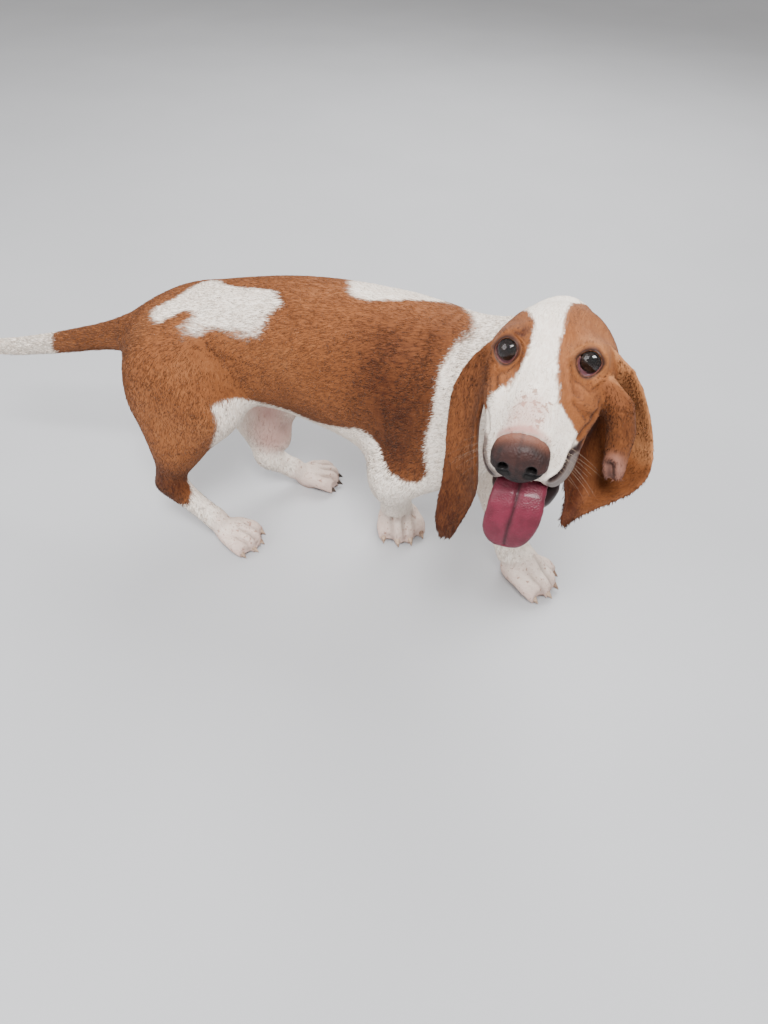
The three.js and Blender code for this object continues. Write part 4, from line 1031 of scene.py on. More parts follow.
class Coat:
    """Short tufts that lie on the skin and break its outline."""

    # Half the width of a tuft's patch on the map
    PATCH = 0.0015
    FLOOR = 0.2
    ROOT_DEPTH = 0.3
    # Faces of a tuft: corner 0 is its root, 1 to 3 its middle and 4 its tip
    FACES = np.array([[0, 1, 2], [0, 2, 3], [0, 3, 1], [4, 2, 1], [4, 3, 2], [4, 1, 3]])
    SEED = 20731

    def __init__(self, skin: bpy.types.Object, hide: Hide, uv: np.ndarray) -> None:
        """Reads what the tufts need from the skin.

        Args:
            skin: The finished skin.
            hide: The skin's vertices.
            uv: Map places of each triangle's corners.
        """
        mesh = skin.data
        corners = np.empty(len(mesh.loops), np.int64)
        mesh.loops.foreach_get("vertex_index", corners)
        self.tri = corners.reshape(-1, 3)
        self.hide = hide
        self.uv = uv
        self.random = np.random.default_rng(self.SEED)
        self.marks = {}
        for name in MASKS + ("lie",):
            data = mesh.attributes[name].data
            wide = 3 if name == "lie" else 1
            values = np.empty(len(data) * wide, np.float32)
            data.foreach_get("vector" if wide == 3 else "value", values)
            self.marks[name] = values.reshape(-1, wide).astype(float)

    def bald(self) -> np.ndarray:
        """Share of each vertex that bears no tufts: lips, lids, bare skin and soles."""
        dark, pink = self.marks["dark"][:, 0], self.marks["pink"][:, 0]
        low = ease(4.0, 2.0, self.hide.points[:, 2])
        eyes = np.zeros(len(dark))
        for side in (-1, 1):
            away = np.linalg.norm(self.hide.head - np.array([0.0, side * EYE_SPREAD, 0.0]), axis=1)
            eyes = np.maximum(eyes, ease(15.0, 13.5, away))
        lips = sum(ease(6.5, 4.5, near_line(self.hide.head, line)) for line in LIP_LINES)
        return np.clip(ease(0.25, 0.6, dark) + ease(0.55, 0.9, pink) + low + eyes + lips, 0.0, 1.0)

    @staticmethod
    def longer(height: np.ndarray, normals: np.ndarray) -> np.ndarray:
        """How much longer the tufts are on the fringes of thigh, belly, neck and tail."""
        below = ease(-0.1, -0.8, normals[:, 2])
        rear = ease(0.2, 0.8, -normals[:, 0]) * ease(110.0, 170.0, height)
        return 1.0 + 0.35 * below + 0.45 * rear

    def tufts(self, kind: TuftKind) -> bpy.types.Object:
        """Makes the tufts of one group of parts.

        Args:
            kind: Their size and spacing.

        Returns:
            One mesh of many closed tufts.
        """
        corners = self.hide.points[self.tri]
        cross = np.cross(corners[:, 1] - corners[:, 0], corners[:, 2] - corners[:, 0])
        area = np.linalg.norm(cross, axis=1) / 2.0
        mine = np.isin(self.hide.part[self.tri[:, 0]], [PART_NUMBER[n] for n in kind.nodes])
        weight = area * mine * (1.0 - self.bald()[self.tri].mean(1))
        count = int(min(kind.most, weight.sum() / kind.area))
        chosen = self.random.choice(len(area), count, p=weight / weight.sum())
        a, b = self.random.random((2, count))
        flip = a + b > 1.0
        a, b = np.where(flip, 1 - a, a), np.where(flip, 1 - b, b)
        share = np.stack([1 - a - b, a, b], 1)[:, :, None]
        at = self.tri[chosen]
        roots = (corners[chosen] * share).sum(1)
        normals = unit((self.hide.normals[at] * share).sum(1))
        lie = (self.marks["lie"][at] * share).sum(1) + self.random.normal(0.0, 0.12, (count, 3))
        lie = unit(lie - normals * (lie * normals).sum(1, keepdims=True))
        across = np.cross(normals, lie)
        size = self.random.uniform(0.7, 1.25, count)
        long = (kind.length * size * self.longer(roots[:, 2], normals))[:, None]
        wide = (kind.width * self.random.uniform(0.75, 1.2, count))[:, None]
        tilt = np.radians(kind.tilt * self.random.uniform(0.5, 1.5, count))[:, None]
        rise = lie * np.cos(tilt) + normals * np.sin(tilt)
        sunk = roots - normals * self.ROOT_DEPTH
        belly = sunk + rise * long * 0.45
        verts = np.stack(
            [
                sunk,
                belly - across * wide / 2,
                belly + normals * wide * 0.25,
                belly + across * wide / 2,
                sunk + rise * long - normals * long * 0.02,
            ],
            1,
        )
        verts[..., 2] = np.maximum(verts[..., 2], self.FLOOR)
        mesh = self.mesh_of(kind.name, out_of_body(verts.reshape(-1, 3)), self.FACES, count)
        place = (self.uv[chosen] * share).sum(1)
        shift = np.array([[0, -1], [-1, 0], [0, 0], [1, 0], [0, 1]]) * self.PATCH
        spots = place[:, None, :] + shift
        loops = spots[:, self.FACES.ravel(), :]
        mesh.uv_layers.new(name=Atlas.LAYER).data.foreach_set("uv", loops.astype(np.float32).ravel())
        for name, values in self.marks.items():
            root_value = (values[at] * share).sum(1)
            spread = np.repeat(root_value, len(shift), axis=0)
            store(mesh, name, spread if spread.shape[1] == 3 else spread[:, 0])
        tone = np.repeat(self.random.normal(0.0, 1.0, count), len(shift))
        store(mesh, "tone", tone)
        return link(kind.name, mesh)

    @staticmethod
    def mesh_of(name: str, verts: np.ndarray, faces: np.ndarray, count: int) -> bpy.types.Mesh:
        """A mesh of count copies of one face pattern over the rows of vertices."""
        per = len(verts) // count
        all_faces = (faces[None] + (np.arange(count) * per)[:, None, None]).reshape(-1, 3)
        mesh = bpy.data.meshes.new(name)
        mesh.vertices.add(len(verts))
        mesh.vertices.foreach_set("co", verts.ravel())
        mesh.loops.add(all_faces.size)
        mesh.loops.foreach_set("vertex_index", all_faces.astype(np.int32).ravel())
        mesh.polygons.add(len(all_faces))
        mesh.polygons.foreach_set("loop_start", np.arange(0, all_faces.size, 3, dtype=np.int32))
        mesh.update(calc_edges=True)
        mesh.validate()
        return mesh


class Graph:
    """Adds nodes to a material or a group in few words."""

    def __init__(self, tree: bpy.types.NodeTree) -> None:
        """Keeps the tree."""
        self.tree = tree

    def node(self, kind: str, **settings: object) -> bpy.types.Node:
        """A new node with its settings."""
        made = self.tree.nodes.new(kind)
        for key, value in settings.items():
            setattr(made, key, value)
        return made

    def feed(self, socket: bpy.types.NodeSocket, value: object) -> None:
        """Links a socket, or sets the input's own value."""
        if isinstance(value, bpy.types.NodeSocket):
            self.tree.links.new(value, socket)
        elif value is not None:
            socket.default_value = value

    def give(self, node: bpy.types.Node, inputs: dict) -> bpy.types.Node:
        """Feeds a node's inputs, by their names or numbers."""
        for key, value in inputs.items():
            self.feed(node.inputs[key], value)
        return node

    def math(self, kind: str, *values: object, clamp: bool = False) -> Socket:
        """A Math node of up to three inputs."""
        made = self.node("ShaderNodeMath", operation=kind, use_clamp=clamp)
        return self.give(made, dict(enumerate(values))).outputs[0]

    def vector(self, kind: str, values: dict) -> bpy.types.Node:
        """A Vector Math node."""
        return self.give(self.node("ShaderNodeVectorMath", operation=kind), values)

    def swing(self, value: Socket, much: float, base: Socket) -> Socket:
        """The base, moved by how far a value lies from one half."""
        return self.math("MULTIPLY_ADD", self.math("SUBTRACT", value, 0.5), much, base)

    def mix(self, share: object, a: object, b: object) -> Socket:
        """A colour mix."""
        made = self.node("ShaderNodeMix", data_type="RGBA")
        return self.give(made, {0: share, 6: a, 7: b}).outputs[2]

    def step(self, value: Socket, low: float, high: float) -> Socket:
        """Smooth step of a value from low to high."""
        made = self.node("ShaderNodeMapRange", interpolation_type="SMOOTHSTEP")
        return self.give(made, {0: value, 1: low, 2: high}).outputs[0]

    def noise(self, place: Socket, scale: float, detail: float = 2.0, rough: float = 0.5) -> Socket:
        """Soft noise at a place."""
        inputs = {"Vector": place, "Scale": scale, "Detail": detail, "Roughness": rough}
        return self.give(self.node("ShaderNodeTexNoise"), inputs).outputs[0]

    def stretched(self, place: Socket, scale: tuple) -> Socket:
        """The place, scaled by axis."""
        return self.give(self.node("ShaderNodeMapping"), {"Vector": place, "Scale": scale}).outputs[0]

    def kept(self, name: str, output: str = "Fac") -> Socket:
        """A stored attribute of the mesh."""
        return self.node("ShaderNodeAttribute", attribute_name=name).outputs[output]


class Shading(Graph):
    """The nodes of a new material with one Principled shader."""

    def __init__(self, name: str) -> None:
        """Makes the material under its name."""
        self.material = bpy.data.materials.new(name)
        self.material.use_nodes = True
        super().__init__(self.material.node_tree)
        self.shader = self.tree.nodes["Principled BSDF"]

    def place(self) -> Socket:
        """Place in the object's own coordinates."""
        return self.node("ShaderNodeTexCoord").outputs["Object"]

    def dress(self, **inputs: object) -> bpy.types.Material:
        """Feeds the shader, with _ for each space in an input's name, and hands out the material."""
        self.give(self.shader, {key.replace("_", " "): value for key, value in inputs.items()})
        return self.material

    def bump(self, height: Socket, strength: float, distance: float) -> Socket:
        """Fine relief in metres."""
        inputs = {"Height": height, "Strength": strength, "Distance": distance}
        return self.give(self.node("ShaderNodeBump"), inputs).outputs[0]


def rgb(red: int, green: int, blue: int) -> tuple[float, float, float, float]:
    """A colour given as 0 to 255 on a screen, in the scene's linear units."""
    parts = []
    for value in (red, green, blue):
        v = value / 255.0
        parts.append(v / 12.92 if v <= 0.04045 else ((v + 0.055) / 1.055) ** 2.4)
    return (*parts, 1.0)


class HairGrain:
    """Node group: fine grain of short hair, drawn out along the lie."""

    NAME = "hair_grain"
    # Waves that bend the hair: how many to the metre, and how far they reach in metres
    WAVES = 38.0
    WARP = 0.012
    # Grains to the metre across and along the hair
    GRAINS = (("Fine", 760.0, 95.0), ("Broad", 230.0, 42.0))

    def group(self) -> bpy.types.NodeTree:
        """The group, built once.

        Returns:
            A tree with inputs Place and Lie and outputs Fine and Broad.
        """
        made = bpy.data.node_groups.get(self.NAME)
        if made:
            return made
        made = bpy.data.node_groups.new(self.NAME, "ShaderNodeTree")
        for name in ("Place", "Lie"):
            made.interface.new_socket(name, in_out="INPUT", socket_type="NodeSocketVector")
        for name in ("Fine", "Broad"):
            made.interface.new_socket(name, in_out="OUTPUT", socket_type="NodeSocketFloat")
        g = Graph(made)
        source = g.node("NodeGroupInput")
        sink = g.node("NodeGroupOutput")
        split = g.give(g.node("ShaderNodeSeparateXYZ"), {0: source.outputs["Lie"]})
        warp = g.give(g.node("ShaderNodeTexNoise"), {"Vector": source.outputs["Place"], "Scale": self.WAVES})
        inputs = {0: warp.outputs["Color"], 1: (self.WARP,) * 3, 2: source.outputs["Place"]}
        bent = g.vector("MULTIPLY_ADD", inputs).outputs[0]
        for name, across, along in self.GRAINS:
            total = 0.0
            for axis in range(3):
                scale = [across] * 3
                scale[axis] = along
                grain = g.noise(g.stretched(bent, tuple(scale)), 1.0, 1.5, 0.6)
                share = g.math("MULTIPLY", split.outputs[axis], split.outputs[axis])
                total = g.math("MULTIPLY_ADD", grain, share, total)
            g.feed(sink.inputs[name], total)
        return made


@dataclass(frozen=True)
class CoatFinish:
    """Red tan and white short hair, with bare pink and dark skin where there is none, and painted light and
    painted shade in the tan and the dark.
    """

    tan: tuple = (127, 76, 42)
    # tan_light and tan_deep carry the coat's random tone and also its painted light and painted shade
    tan_light: tuple = (166, 112, 72)
    tan_deep: tuple = (62, 28, 12)
    white: tuple = (246, 236, 224)
    white_dim: tuple = (226, 211, 196)
    pink: tuple = (176, 130, 120)
    # dark is near-black skin, and also painted shade in hollows
    dark: tuple = (36, 24, 24)
    fleck: tuple = (138, 90, 64)
    haw: tuple = (80, 48, 53)
    bump: float = 0.4
    relief: float = 0.0011
    tufts: bool = False

    def material(self, name: str) -> bpy.types.Material:
        """Builds the material.

        Args:
            name: Its name.

        Returns:
            The material, for the skin or for its tufts.
        """
        g = Shading(name)
        place = g.place()
        grain = g.node("ShaderNodeGroup", node_tree=HairGrain().group())
        g.give(grain, {"Place": place, "Lie": g.kept("lie", "Vector")})
        fine, broad = grain.outputs["Fine"], grain.outputs["Broad"]
        ragged = g.swing(fine, 5.0, g.swing(broad, 7.0, g.kept("white")))
        white = g.step(ragged, -2.8, 2.8)
        cloud = g.noise(place, 14.0, 3.0)
        # The coat's tone with painted light and painted shade, broken up by noise: above zero towards deep
        # tan, below zero towards light tan
        depth = g.swing(fine, 0.9, g.swing(broad, 0.7, g.swing(cloud, 0.8, g.kept("shade"))))
        if self.tufts:
            depth = g.math("MULTIPLY_ADD", g.kept("tone"), 0.07, depth)
        deeper = g.math("MULTIPLY", depth, 1.0, clamp=True)
        lighter = g.math("MULTIPLY", depth, -1.0, clamp=True)
        tan = g.mix(deeper, rgb(*self.tan), rgb(*self.tan_deep))
        tan = g.mix(lighter, tan, rgb(*self.tan_light))
        bright = g.step(g.math("MULTIPLY_ADD", broad, 0.5, fine), 0.5, 1.0)
        pale = g.mix(bright, rgb(*self.white_dim), rgb(*self.white))
        flecks = g.noise(place, 185.0, 2.0, 0.6)
        much = g.math("MULTIPLY_ADD", g.kept("ticks"), -0.23, 0.80)
        tick = g.step(g.math("SUBTRACT", flecks, much), 0.0, 0.1)
        pale = g.mix(g.math("MULTIPLY", tick, 0.7), pale, rgb(*self.fleck))
        colour = g.mix(white, tan, pale)
        blotch = g.math("MULTIPLY", g.kept("pink"), g.math("MULTIPLY_ADD", cloud, 0.5, 0.72), clamp=True)
        colour = g.mix(blotch, colour, rgb(*self.pink))
        # Near-black of lips, mouth and nose, with painted shade in the left ear's roll, between the toes and
        # along the upper lids; it also lowers the roughness
        wet = g.kept("dark")
        colour = g.mix(wet, colour, rgb(*self.dark))
        if not self.tufts:
            colour = g.mix(g.kept("haw"), colour, rgb(*self.haw))
            wet = g.math("MAXIMUM", wet, g.kept("haw"))
            hair = g.math("MULTIPLY_ADD", broad, 0.8, fine)
            hair = g.math("MULTIPLY", hair, g.math("SUBTRACT", 1.0, wet))
            g.dress(Normal=g.bump(hair, self.bump, self.relief))
        g.dress(Base_Color=colour, Roughness=g.math("MULTIPLY_ADD", wet, -0.42, 0.72))
        return g.dress(Specular_IOR_Level=0.16, Sheen_Weight=0.03, Sheen_Roughness=0.4)


@dataclass(frozen=True)
class WetFinish:
    """Moist skin of nose or tongue: two tones, painted shade in its hollows and grooves, fine grain, a low
    gloss.
    """

    main: tuple
    deep: tuple
    grain: float
    height: float
    rough: float
    coat: float
    pale: tuple | None = None

    def material(self, name: str) -> bpy.types.Material:
        """Builds the material under its name."""
        g = Shading(name)
        place = g.place()
        cloud = g.noise(place, 90.0, 3.0)
        colour = g.mix(g.step(cloud, 0.35, 0.7), rgb(*self.main), rgb(*self.deep))
        if self.pale:
            colour = g.mix(g.kept("pale"), colour, rgb(*self.pale))
        # Near-black by the stored deep share: painted shade in nostrils and grooves, and the nose darker
        # towards the bottom
        colour = g.mix(g.kept("deep"), colour, rgb(*(int(v * 0.35) for v in self.deep)))
        cell = g.node("ShaderNodeTexVoronoi", feature="SMOOTH_F1")
        g.give(cell, {"Vector": place, "Scale": self.grain})
        relief = g.math("MULTIPLY", cell.outputs["Distance"], -1.0)
        rough = g.math("MULTIPLY_ADD", cloud, 0.2, self.rough - 0.1)
        g.dress(Base_Color=colour, Roughness=rough, Normal=g.bump(relief, 0.7, self.height))
        return g.dress(Coat_Weight=self.coat, Coat_Roughness=0.18, Specular_IOR_Level=0.3)


@dataclass(frozen=True)
class EyeFinish:
    """Dark brown iris round a black pupil, in the eye's white."""

    centre: tuple
    gaze: tuple
    pupil: float = 24.0
    iris: float = 56.0

    RAYS = 900.0

    def ball(self, name: str) -> bpy.types.Material:
        """Material of the ball, coloured by the angle from the gaze.

        Args:
            name: Its name.

        Returns:
            The material.
        """
        g = Shading(name)
        place = g.place()
        away = g.vector("SUBTRACT", {0: place, 1: self.centre})
        flat = g.vector("NORMALIZE", {0: away.outputs[0]})
        facing = g.vector("DOT_PRODUCT", {0: flat.outputs[0], 1: self.gaze})
        angle = g.math("MULTIPLY", g.math("ARCCOSINE", facing.outputs["Value"]), 180.0 / math.pi)
        rays = g.noise(g.stretched(place, (self.RAYS,) * 3), 1.0, 2.0)
        brown = g.mix(rays, rgb(18, 10, 8), rgb(34, 19, 13))
        outer = g.step(angle, self.iris - 10.0, self.iris - 1.0)
        brown = g.mix(outer, brown, rgb(13, 9, 10))
        colour = g.mix(g.step(angle, self.pupil - 2.0, self.pupil + 6.0), rgb(5, 4, 6), brown)
        veins = g.noise(place, 420.0, 4.0, 0.7)
        sclera = g.mix(g.step(veins, 0.5, 0.62), rgb(70, 50, 53), rgb(58, 34, 36))
        colour = g.mix(g.step(angle, self.iris - 1.0, self.iris + 3.0), colour, sclera)
        return g.dress(Base_Color=colour, Roughness=0.6, Specular_IOR_Level=0.1)

    @staticmethod
    def cornea(name: str) -> bpy.types.Material:
        """Clear material of the cornea."""
        clear = (1.0, 1.0, 1.0, 1.0)
        return Shading(name).dress(Base_Color=clear, Roughness=0.0, IOR=1.33, Transmission_Weight=1.0)


@dataclass(frozen=True)
class HornFinish:
    """Horn of the claws or stiff hair, streaked from a pale to a dark tone."""

    pale: tuple
    dark: tuple
    rough: float
    streaks: tuple = (60.0, 60.0, 380.0)

    def material(self, name: str) -> bpy.types.Material:
        """Builds the material under its name."""
        g = Shading(name)
        place = g.place()
        streak = g.noise(g.stretched(place, self.streaks), 1.0, 3.0)
        broad = g.noise(place, 26.0, 1.0)
        tone = g.math("MULTIPLY_ADD", streak, 0.6, g.math("MULTIPLY", broad, 0.5))
        colour = g.mix(g.step(tone, 0.4, 0.7), rgb(*self.pale), rgb(*self.dark))
        return g.dress(Base_Color=colour, Roughness=g.math("MULTIPLY_ADD", streak, 0.2, self.rough))


def finish_piece(obj: bpy.types.Object, material: bpy.types.Material) -> None:
    """Gives a piece its material and smooth faces, lets it ride and logs it.

    Args:
        obj: The piece.
        material: Its material.
    """
    obj.data.materials.clear()
    obj.data.materials.append(material)
    obj.data.polygons.foreach_set("use_smooth", np.ones(len(obj.data.polygons), bool))
    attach(obj, "root")
    faces = sum(len(p.vertices) - 2 for p in obj.data.polygons)
    LOG.info("%s: %d triangles", obj.name, faces)


@dataclass(frozen=True)
class SoftForm:
    """Nose or tongue: the solid's form, made smooth and then shaped."""

    name: str
    node: str
    voxel: float
    rounds: int

    def copy(self) -> bpy.types.Object:
        """A smooth closed copy of the solid."""
        obj = link(self.name, frame["nodes"][self.node].data.copy())
        weld(obj)
        modify(obj, "even", "REMESH", mode="VOXEL", voxel_size=self.voxel)
        set_points(obj.data, relax(points_of(obj.data), edges_of(obj.data), self.rounds))
        return obj


class Nose:
    """The nose with its nostrils and the groove below."""

    FORM = SoftForm("nose_leather", "nose", 0.0008, 10)
    NOSTRIL_FROM = (125.0, 8.5, -44.0)
    NOSTRIL_TO = (108.0, 12.5, -42.0)
    SHIFT = -2.0

    def build(self) -> None:
        """Makes and dresses the nose."""
        nose = self.FORM.copy()
        mesh = nose.data
        head = HEAD.into(into_body(points_of(mesh)))
        normals = normals_of(mesh) @ HEAD.basis.T
        groove = Crease(((122, self.SHIFT, -40), (121, self.SHIFT, -60)), 1.5, 1.5).push(head)
        push = groove * ease(108.0, 114.0, head[:, 0])
        deep = np.zeros(len(head))
        for side in (-1, 1):
            start = (self.NOSTRIL_FROM[0], side * self.NOSTRIL_FROM[1] + self.SHIFT, self.NOSTRIL_FROM[2])
            end = (self.NOSTRIL_TO[0], side * self.NOSTRIL_TO[1] + self.SHIFT, self.NOSTRIL_TO[2])
            slit = (
                (119.0, side * 8.0 + self.SHIFT, -49.0),
                (117.0, side * 12.5 + self.SHIFT, -50.5),
                (112.0, side * 18.5 + self.SHIFT, -48.0),
            )
            # Painted shade: near-black in each nostril and along its slit
            deep += ease(5.2, 3.4, near_line(head, (start, end)))
            push -= 3.4 * ease(4.6, 2.0, near_line(head, slit))
            deep += ease(5.4, 3.2, near_line(head, slit))
        head += normals * push[:, None]
        set_points(mesh, out_of_body(HEAD.out(head)))
        # Painted shade along the middle groove, and darker towards the bottom
        deep += 0.3 * ease(2.0, 0.6, np.abs(head[:, 1] - self.SHIFT)) + 0.7 * ease(-42.0, -58.0, head[:, 2])
        store(mesh, "deep", np.clip(deep, 0.0, 1.0))
        store(mesh, "pale", ease(-36.0, -22.0, head[:, 2]) * ease(118.0, 106.0, head[:, 0]))
        finish = WetFinish((52, 28, 24), (26, 16, 16), 620.0, 0.0007, 0.62, 0.03, pale=(112, 68, 52))
        finish_piece(nose, finish.material("nose_leather"))
        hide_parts("nose")


class Tongue:
    """The tongue that hangs over the lower jaw, with its long groove."""

    FORM = SoftForm("tongue_body", "tongue", 0.0012, 12)

    def build(self) -> None:
        """Makes and dresses the tongue."""
        tongue = self.FORM.copy()
        mesh = tongue.data
        head = HEAD.into(into_body(points_of(mesh)))
        normals = normals_of(mesh) @ HEAD.basis.T
        run = head[:, 0] - head[:, 2]
        stations = np.linspace(run.min() + 4.0, run.max() - 4.0, 12)
        middles = [head[np.abs(run - at) < 5.0, 1].mean() for at in stations]
        away = head[:, 1] - np.interp(run, stations, middles)
        outer = ease(0.1, 0.5, normals[:, 0] * 0.75 + normals[:, 2] * 0.66)
        valley = np.exp(-((away / 2.1) ** 2))
        ridges = np.exp(-(((np.abs(away) - 6.0) / 3.0) ** 2))
        head += normals * ((0.35 * ridges - 1.7 * valley) * outer)[:, None]
        set_points(mesh, out_of_body(HEAD.out(head)))
        # Painted shade along the tongue's middle groove
        store(mesh, "deep", 0.8 * np.exp(-((away / 1.4) ** 2)) * outer)
        finish = WetFinish((102, 31, 49), (84, 23, 38), 900.0, 0.0005, 0.45, 0.15)
        finish_piece(tongue, finish.material("tongue_skin"))
        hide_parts("tongue")


@dataclass(frozen=True)
class Eye:
    """One eye: a ball with a sunk iris under a clear cornea."""

    side: int

    BALL_RADIUS = 11.6
    IRIS_ANGLE = 56.0
    # Metres: the clear wall, where the cornea is cut off, and the iris's bowl and its middle rise
    WALL = 0.0003
    CUT = 0.003
    BOWL = 0.0022
    BUMP = 0.0008

    @property
    def name(self) -> str:
        """The eye's node."""
        return "eye_right" if self.side < 0 else "eye_left"

    def build(self, camera_place: np.ndarray) -> None:
        """Makes and dresses the eye.

        Args:
            camera_place: Where the eye looks, in part metres.
        """
        centre = out_of_body(HEAD.out(np.array([0.0, self.side * EYE_SPREAD, 0.0])))
        gaze = unit(camera_place - centre)
        turn = Vector((0.0, 0.0, 1.0)).rotation_difference(Vector(gaze)).to_matrix()
        place = Matrix.Translation(Vector(centre)) @ turn.to_4x4()
        deselect()
        bpy.ops.mesh.primitive_uv_sphere_add(segments=72, ring_count=60, radius=self.BALL_RADIUS * MM)
        ball = bpy.context.active_object
        ball.name = self.name + "_ball"
        co = points_of(ball.data)
        edge = math.sin(math.radians(self.IRIS_ANGLE)) * self.BALL_RADIUS * MM
        rim = math.cos(math.radians(self.IRIS_ANGLE)) * self.BALL_RADIUS * MM
        flat = np.hypot(co[:, 0], co[:, 1])
        inside = (co[:, 2] > 0) & (flat < edge)
        middle = 1.0 - (flat / edge) ** 2
        bowl = rim + self.BOWL * middle - self.BUMP * middle**2
        co[inside, 2] = np.minimum(co[inside, 2], bowl[inside])
        set_points(ball.data, co)
        ball.data.transform(place)
        finish = EyeFinish(tuple(centre), tuple(gaze))
        finish_piece(ball, finish.ball(self.name + "_iris"))
        deselect()
        bpy.ops.mesh.primitive_uv_sphere_add(segments=64, ring_count=48, radius=EYE_RADIUS * MM)
        cornea = bpy.context.active_object
        cornea.name = self.name + "_cornea"
        bpy.ops.object.mode_set(mode="EDIT")
        bpy.ops.mesh.select_all(action="SELECT")
        bpy.ops.mesh.bisect(plane_co=(0, 0, self.CUT), plane_no=(0, 0, 1), clear_inner=True, use_fill=False)
        bpy.ops.object.mode_set(mode="OBJECT")
        modify(cornea, "wall", "SOLIDIFY", thickness=self.WALL, offset=-1.0)
        cornea.data.transform(place)
        finish_piece(cornea, EyeFinish.cornea(self.name + "_cornea"))
        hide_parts(self.name)
        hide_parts(self.name)


class Claws:
    """Sixteen claws, one modelled and the rest copied and fitted."""

    LONG = 12.0
    ROOT = 5.2
    RINGS = 7
    TIP = 0.10
    FLOOR = 0.3
    SEED = 611

    def pattern(self) -> tuple[np.ndarray, bpy.types.Mesh]:
        """One straight claw along x, pulled ring by ring out of a circle."""
        deselect()
        turned = (0, math.pi / 2, 0)
        bpy.ops.mesh.primitive_circle_add(vertices=14, radius=1.0, fill_type="NGON", rotation=turned)
        claw = bpy.context.active_object
        bpy.ops.object.transform_apply(location=True, rotation=True, scale=True)
        bpy.ops.object.mode_set(mode="EDIT")
        bpy.ops.mesh.select_all(action="SELECT")
        radius = 1.0
        for k in range(1, self.RINGS + 1):
            t = k / self.RINGS
            wanted = max(self.TIP, (1.0 - t**1.6) ** 0.8)
            bpy.ops.mesh.extrude_region_move(TRANSFORM_OT_translate={"value": (1.0 / self.RINGS, 0.0, 0.0)})
            factor = wanted / radius
            bpy.ops.transform.resize(value=(1.0, factor, factor), center_override=(t, 0.0, 0.0))
            radius = wanted
        bpy.ops.mesh.select_all(action="SELECT")
        bpy.ops.mesh.normals_make_consistent(inside=False)
        bpy.ops.object.mode_set(mode="OBJECT")
        mesh = claw.data
        co = points_of(mesh)
        bpy.data.objects.remove(claw)
        return co, mesh

    def build(self) -> None:
        """Makes and dresses the claws of each paw."""
        co, mesh = self.pattern()
        draw = np.random.default_rng(self.SEED)
        dark = HornFinish((92, 74, 62), (30, 22, 20), 0.38).material("claw_horn_dark")
        pale = HornFinish((186, 160, 138), (128, 100, 82), 0.4).material("claw_horn")
        for paw in PAWS:
            made = []
            for k, reach in paw.toes():
                root = paw.at(reach - 5.0, k * 17.2, 11.5)
                ahead = paw.axes.along((1.0, 0.08 * k, 0.0))
                aside = np.cross(UP, ahead)
                long = self.LONG * paw.size * draw.uniform(0.95, 1.05)
                t = np.clip(co[:, 0], 0.0, 1.0)
                radius = self.ROOT * paw.size
                points = root + ahead * (t * long)[:, None]
                points[:, 2] = root[2] - 1.5 - (root[2] - 5.0) * t**1.7
                points += aside * (co[:, 1:2] * radius * 0.8) + UP * (co[:, 2:3] * radius)
                points[:, 2] = np.maximum(points[:, 2], self.FLOOR)
                copy = mesh.copy()
                set_points(copy, out_of_body(points))
                made.append(link("claw", copy))
            claws = join(made, "claws_" + paw.node.replace("paw_", ""))
            finish_piece(claws, dark if paw.node == "paw_hind_left" else pale)


class Whiskers:
    """Stiff hairs of the muzzle: thin, bent and tapered."""

    SEED = 90210
    COUNT = 9
    PARTS = 5
    THICK = 0.1
    SAG = 0.28

    def strand(self, root: np.ndarray, away: np.ndarray, long: float) -> np.ndarray:
        """Rings of one hair from its root, three corners each.

        Args:
            root: Place of the root.
            away: Direction at the root.
            long: Length in millimetres.

        Returns:
            Corners of six rings.
        """
        rings = []
        side = unit(np.cross(away, UP))
        top = np.cross(side, away)
        for k in range(self.PARTS + 1):
            t = k / self.PARTS
            centre = root + away * long * t - UP * long * self.SAG * t * t
            thick = self.THICK * (1.0 - 0.8 * t)
            for turn in (0.0, 2.094, 4.189):
                rings.append(centre + (side * math.cos(turn) + top * math.sin(turn)) * thick)
        return np.array(rings)

    def build(self, hide: Hide) -> None:
        """Sets the hairs on the muzzle.

        Args:
            hide: The skin's vertices, which carry the roots.
        """
        draw = np.random.default_rng(self.SEED)
        verts = []
        for side in (-1, 1):
            for k in range(self.COUNT):
                row, column = k % 3, k // 3
                aim = np.array([100.0 - 8.0 * column, side * 24.0, -35.0 - 5.0 * row])
                near = np.argmin(np.linalg.norm(hide.head - aim, axis=1))
                away = HEAD.along((0.35 - 0.16 * column, side * 1.0, -0.25 - 0.12 * row))
                away = unit(away + draw.normal(0.0, 0.1, 3))
                verts.append(self.strand(hide.points[near], away, draw.uniform(20.0, 36.0)))
        faces = []
        for k in range(self.PARTS):
            for j in range(3):
                a, b = 3 * k + j, 3 * k + (j + 1) % 3
                faces += [[a, b + 3, b], [a, a + 3, b + 3]]
        last = 3 * self.PARTS
        faces += [[0, 1, 2], [last + 2, last + 1, last]]
        mesh = Coat.mesh_of("whiskers", out_of_body(np.concatenate(verts)), np.array(faces), len(verts))
        finish = HornFinish((196, 176, 152), (104, 84, 68), 0.35)
        finish_piece(link("whiskers", mesh), finish.material("whisker_hair"))


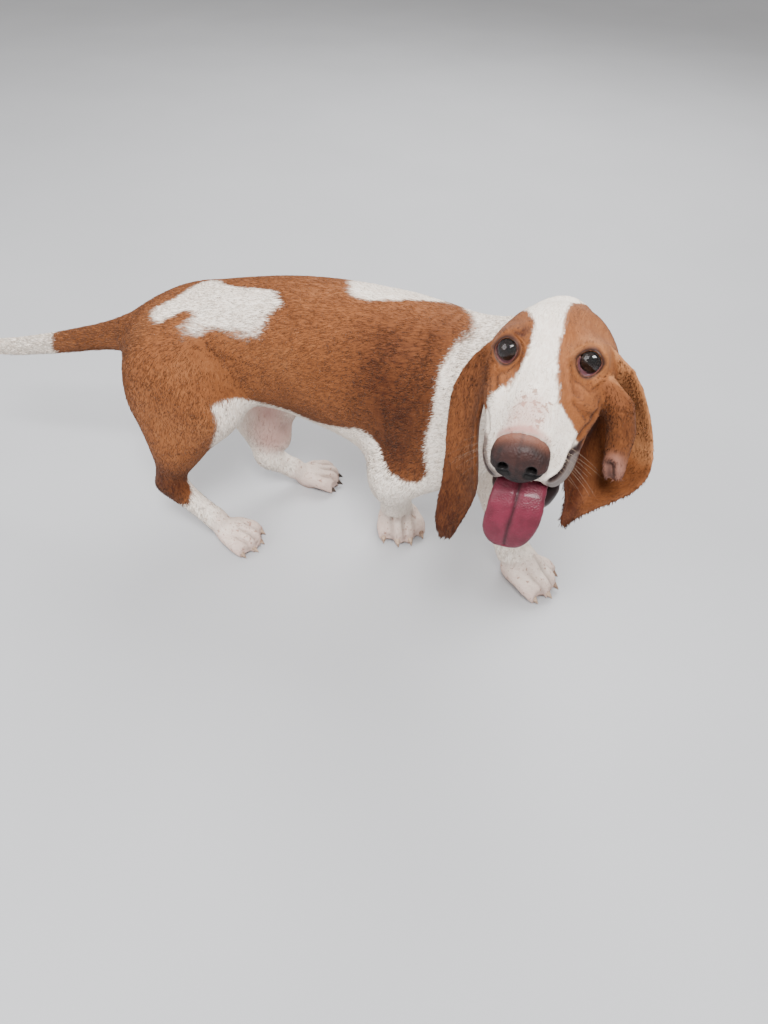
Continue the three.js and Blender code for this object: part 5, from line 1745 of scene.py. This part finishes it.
@dataclass(frozen=True)
class Studio:
    """Floor, lights and the camera at the photo's own viewing angle."""

    camera: tuple = (0.3077, -0.5959, 0.740)
    pitch: float = 45.0
    roll: float = 2.08
    alpha: float = 12.0
    focus_px: float = 720.0

    PHOTO_TALL = 1024.0
    AIM = (0.0, 0.0, 0.2)

    def camera_basis(self) -> Matrix:
        """The camera's axes as columns, right, up and backward."""
        p, r, a = (math.radians(v) for v in (self.pitch, self.roll, self.alpha))
        rise = np.array([math.sin(r) * math.cos(p), -math.cos(r) * math.cos(p), -math.sin(p)])
        ahead = unit(np.array([0.0, 0.0, 1.0]) - rise * rise[2])
        right = np.cross(ahead, rise)
        if right[0] < 0:
            right = -right
        east = math.cos(a) * right - math.sin(a) * ahead
        north = math.sin(a) * right + math.cos(a) * ahead
        columns = np.stack([east, north, rise], 1)
        return Matrix([columns[0], -columns[1], -columns[2]]).transposed()

    def build(self) -> None:
        """Adds the camera, the floor and the lights."""
        lens = bpy.data.cameras.new("camera")
        lens.sensor_fit = "VERTICAL"
        lens.sensor_height = 36.0
        lens.lens = lens.sensor_height * self.focus_px / self.PHOTO_TALL
        lens.clip_start = 0.02
        camera = link("camera", lens)
        camera.matrix_world = Matrix.Translation(self.camera) @ self.camera_basis().to_4x4()
        bpy.context.scene.camera = camera
        deselect()
        bpy.ops.mesh.primitive_plane_add(size=20.0)
        floor = bpy.context.active_object
        floor.name = "floor"
        floor.data.materials.append(self.floor_material())
        self.light("key", (0.5, -1.3, 2.4), 0.9, 120.0)
        self.light("fill", (-1.9, -1.2, 1.6), 1.8, 40.0)
        self.light("back", (0.3, 1.9, 2.0), 1.6, 66.0)
        world = bpy.data.worlds.new("studio")
        bpy.context.scene.world = world
        world.use_nodes = True
        sky = world.node_tree.nodes["Background"]
        sky.inputs["Color"].default_value = (1.0, 0.975, 0.955, 1.0)
        sky.inputs["Strength"].default_value = 0.64

    @staticmethod
    def floor_material() -> bpy.types.Material:
        """Plain pale floor with the faintest cloud in it."""
        g = Shading("floor")
        colour = g.mix(g.noise(g.place(), 3.0), rgb(176, 177, 180), rgb(186, 187, 190))
        return g.dress(Base_Color=colour, Roughness=0.7)

    def light(self, name: str, place: tuple, size: float, power: float) -> None:
        """One soft lamp that points at the hound.

        Args:
            name: Its name.
            place: Where it hangs.
            size: Side of its square.
            power: Watts.
        """
        lamp = bpy.data.lights.new(name, "AREA")
        lamp.size = size
        lamp.energy = power
        obj = link(name, lamp)
        obj.location = place
        obj.rotation_euler = (Vector(self.AIM) - Vector(place)).to_track_quat("-Z", "Y").to_euler()


def write_sizes() -> None:
    """Brings the scene's view layer up to date."""
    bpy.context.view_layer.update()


def main() -> None:
    """Builds the hound piece by piece."""
    logging.basicConfig(level=logging.INFO, format="%(message)s")
    studio = Studio()
    studio.build()
    skin, hide = Skin().model()
    uv = Atlas().unwrap(skin.data, hide)
    finish_piece(skin, CoatFinish().material("coat_skin"))
    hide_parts(*FLESH_NODES)
    coat = Coat(skin, hide, uv)
    hair = CoatFinish(tufts=True).material("coat_tufts")
    for kind in TUFT_KINDS:
        finish_piece(coat.tufts(kind), hair)
    Nose().build()
    Tongue().build()
    for side in (-1, 1):
        Eye(side).build(np.array(studio.camera))
    Claws().build()
    Whiskers().build(hide)
    write_sizes()


if __name__ == "__main__":
    main()
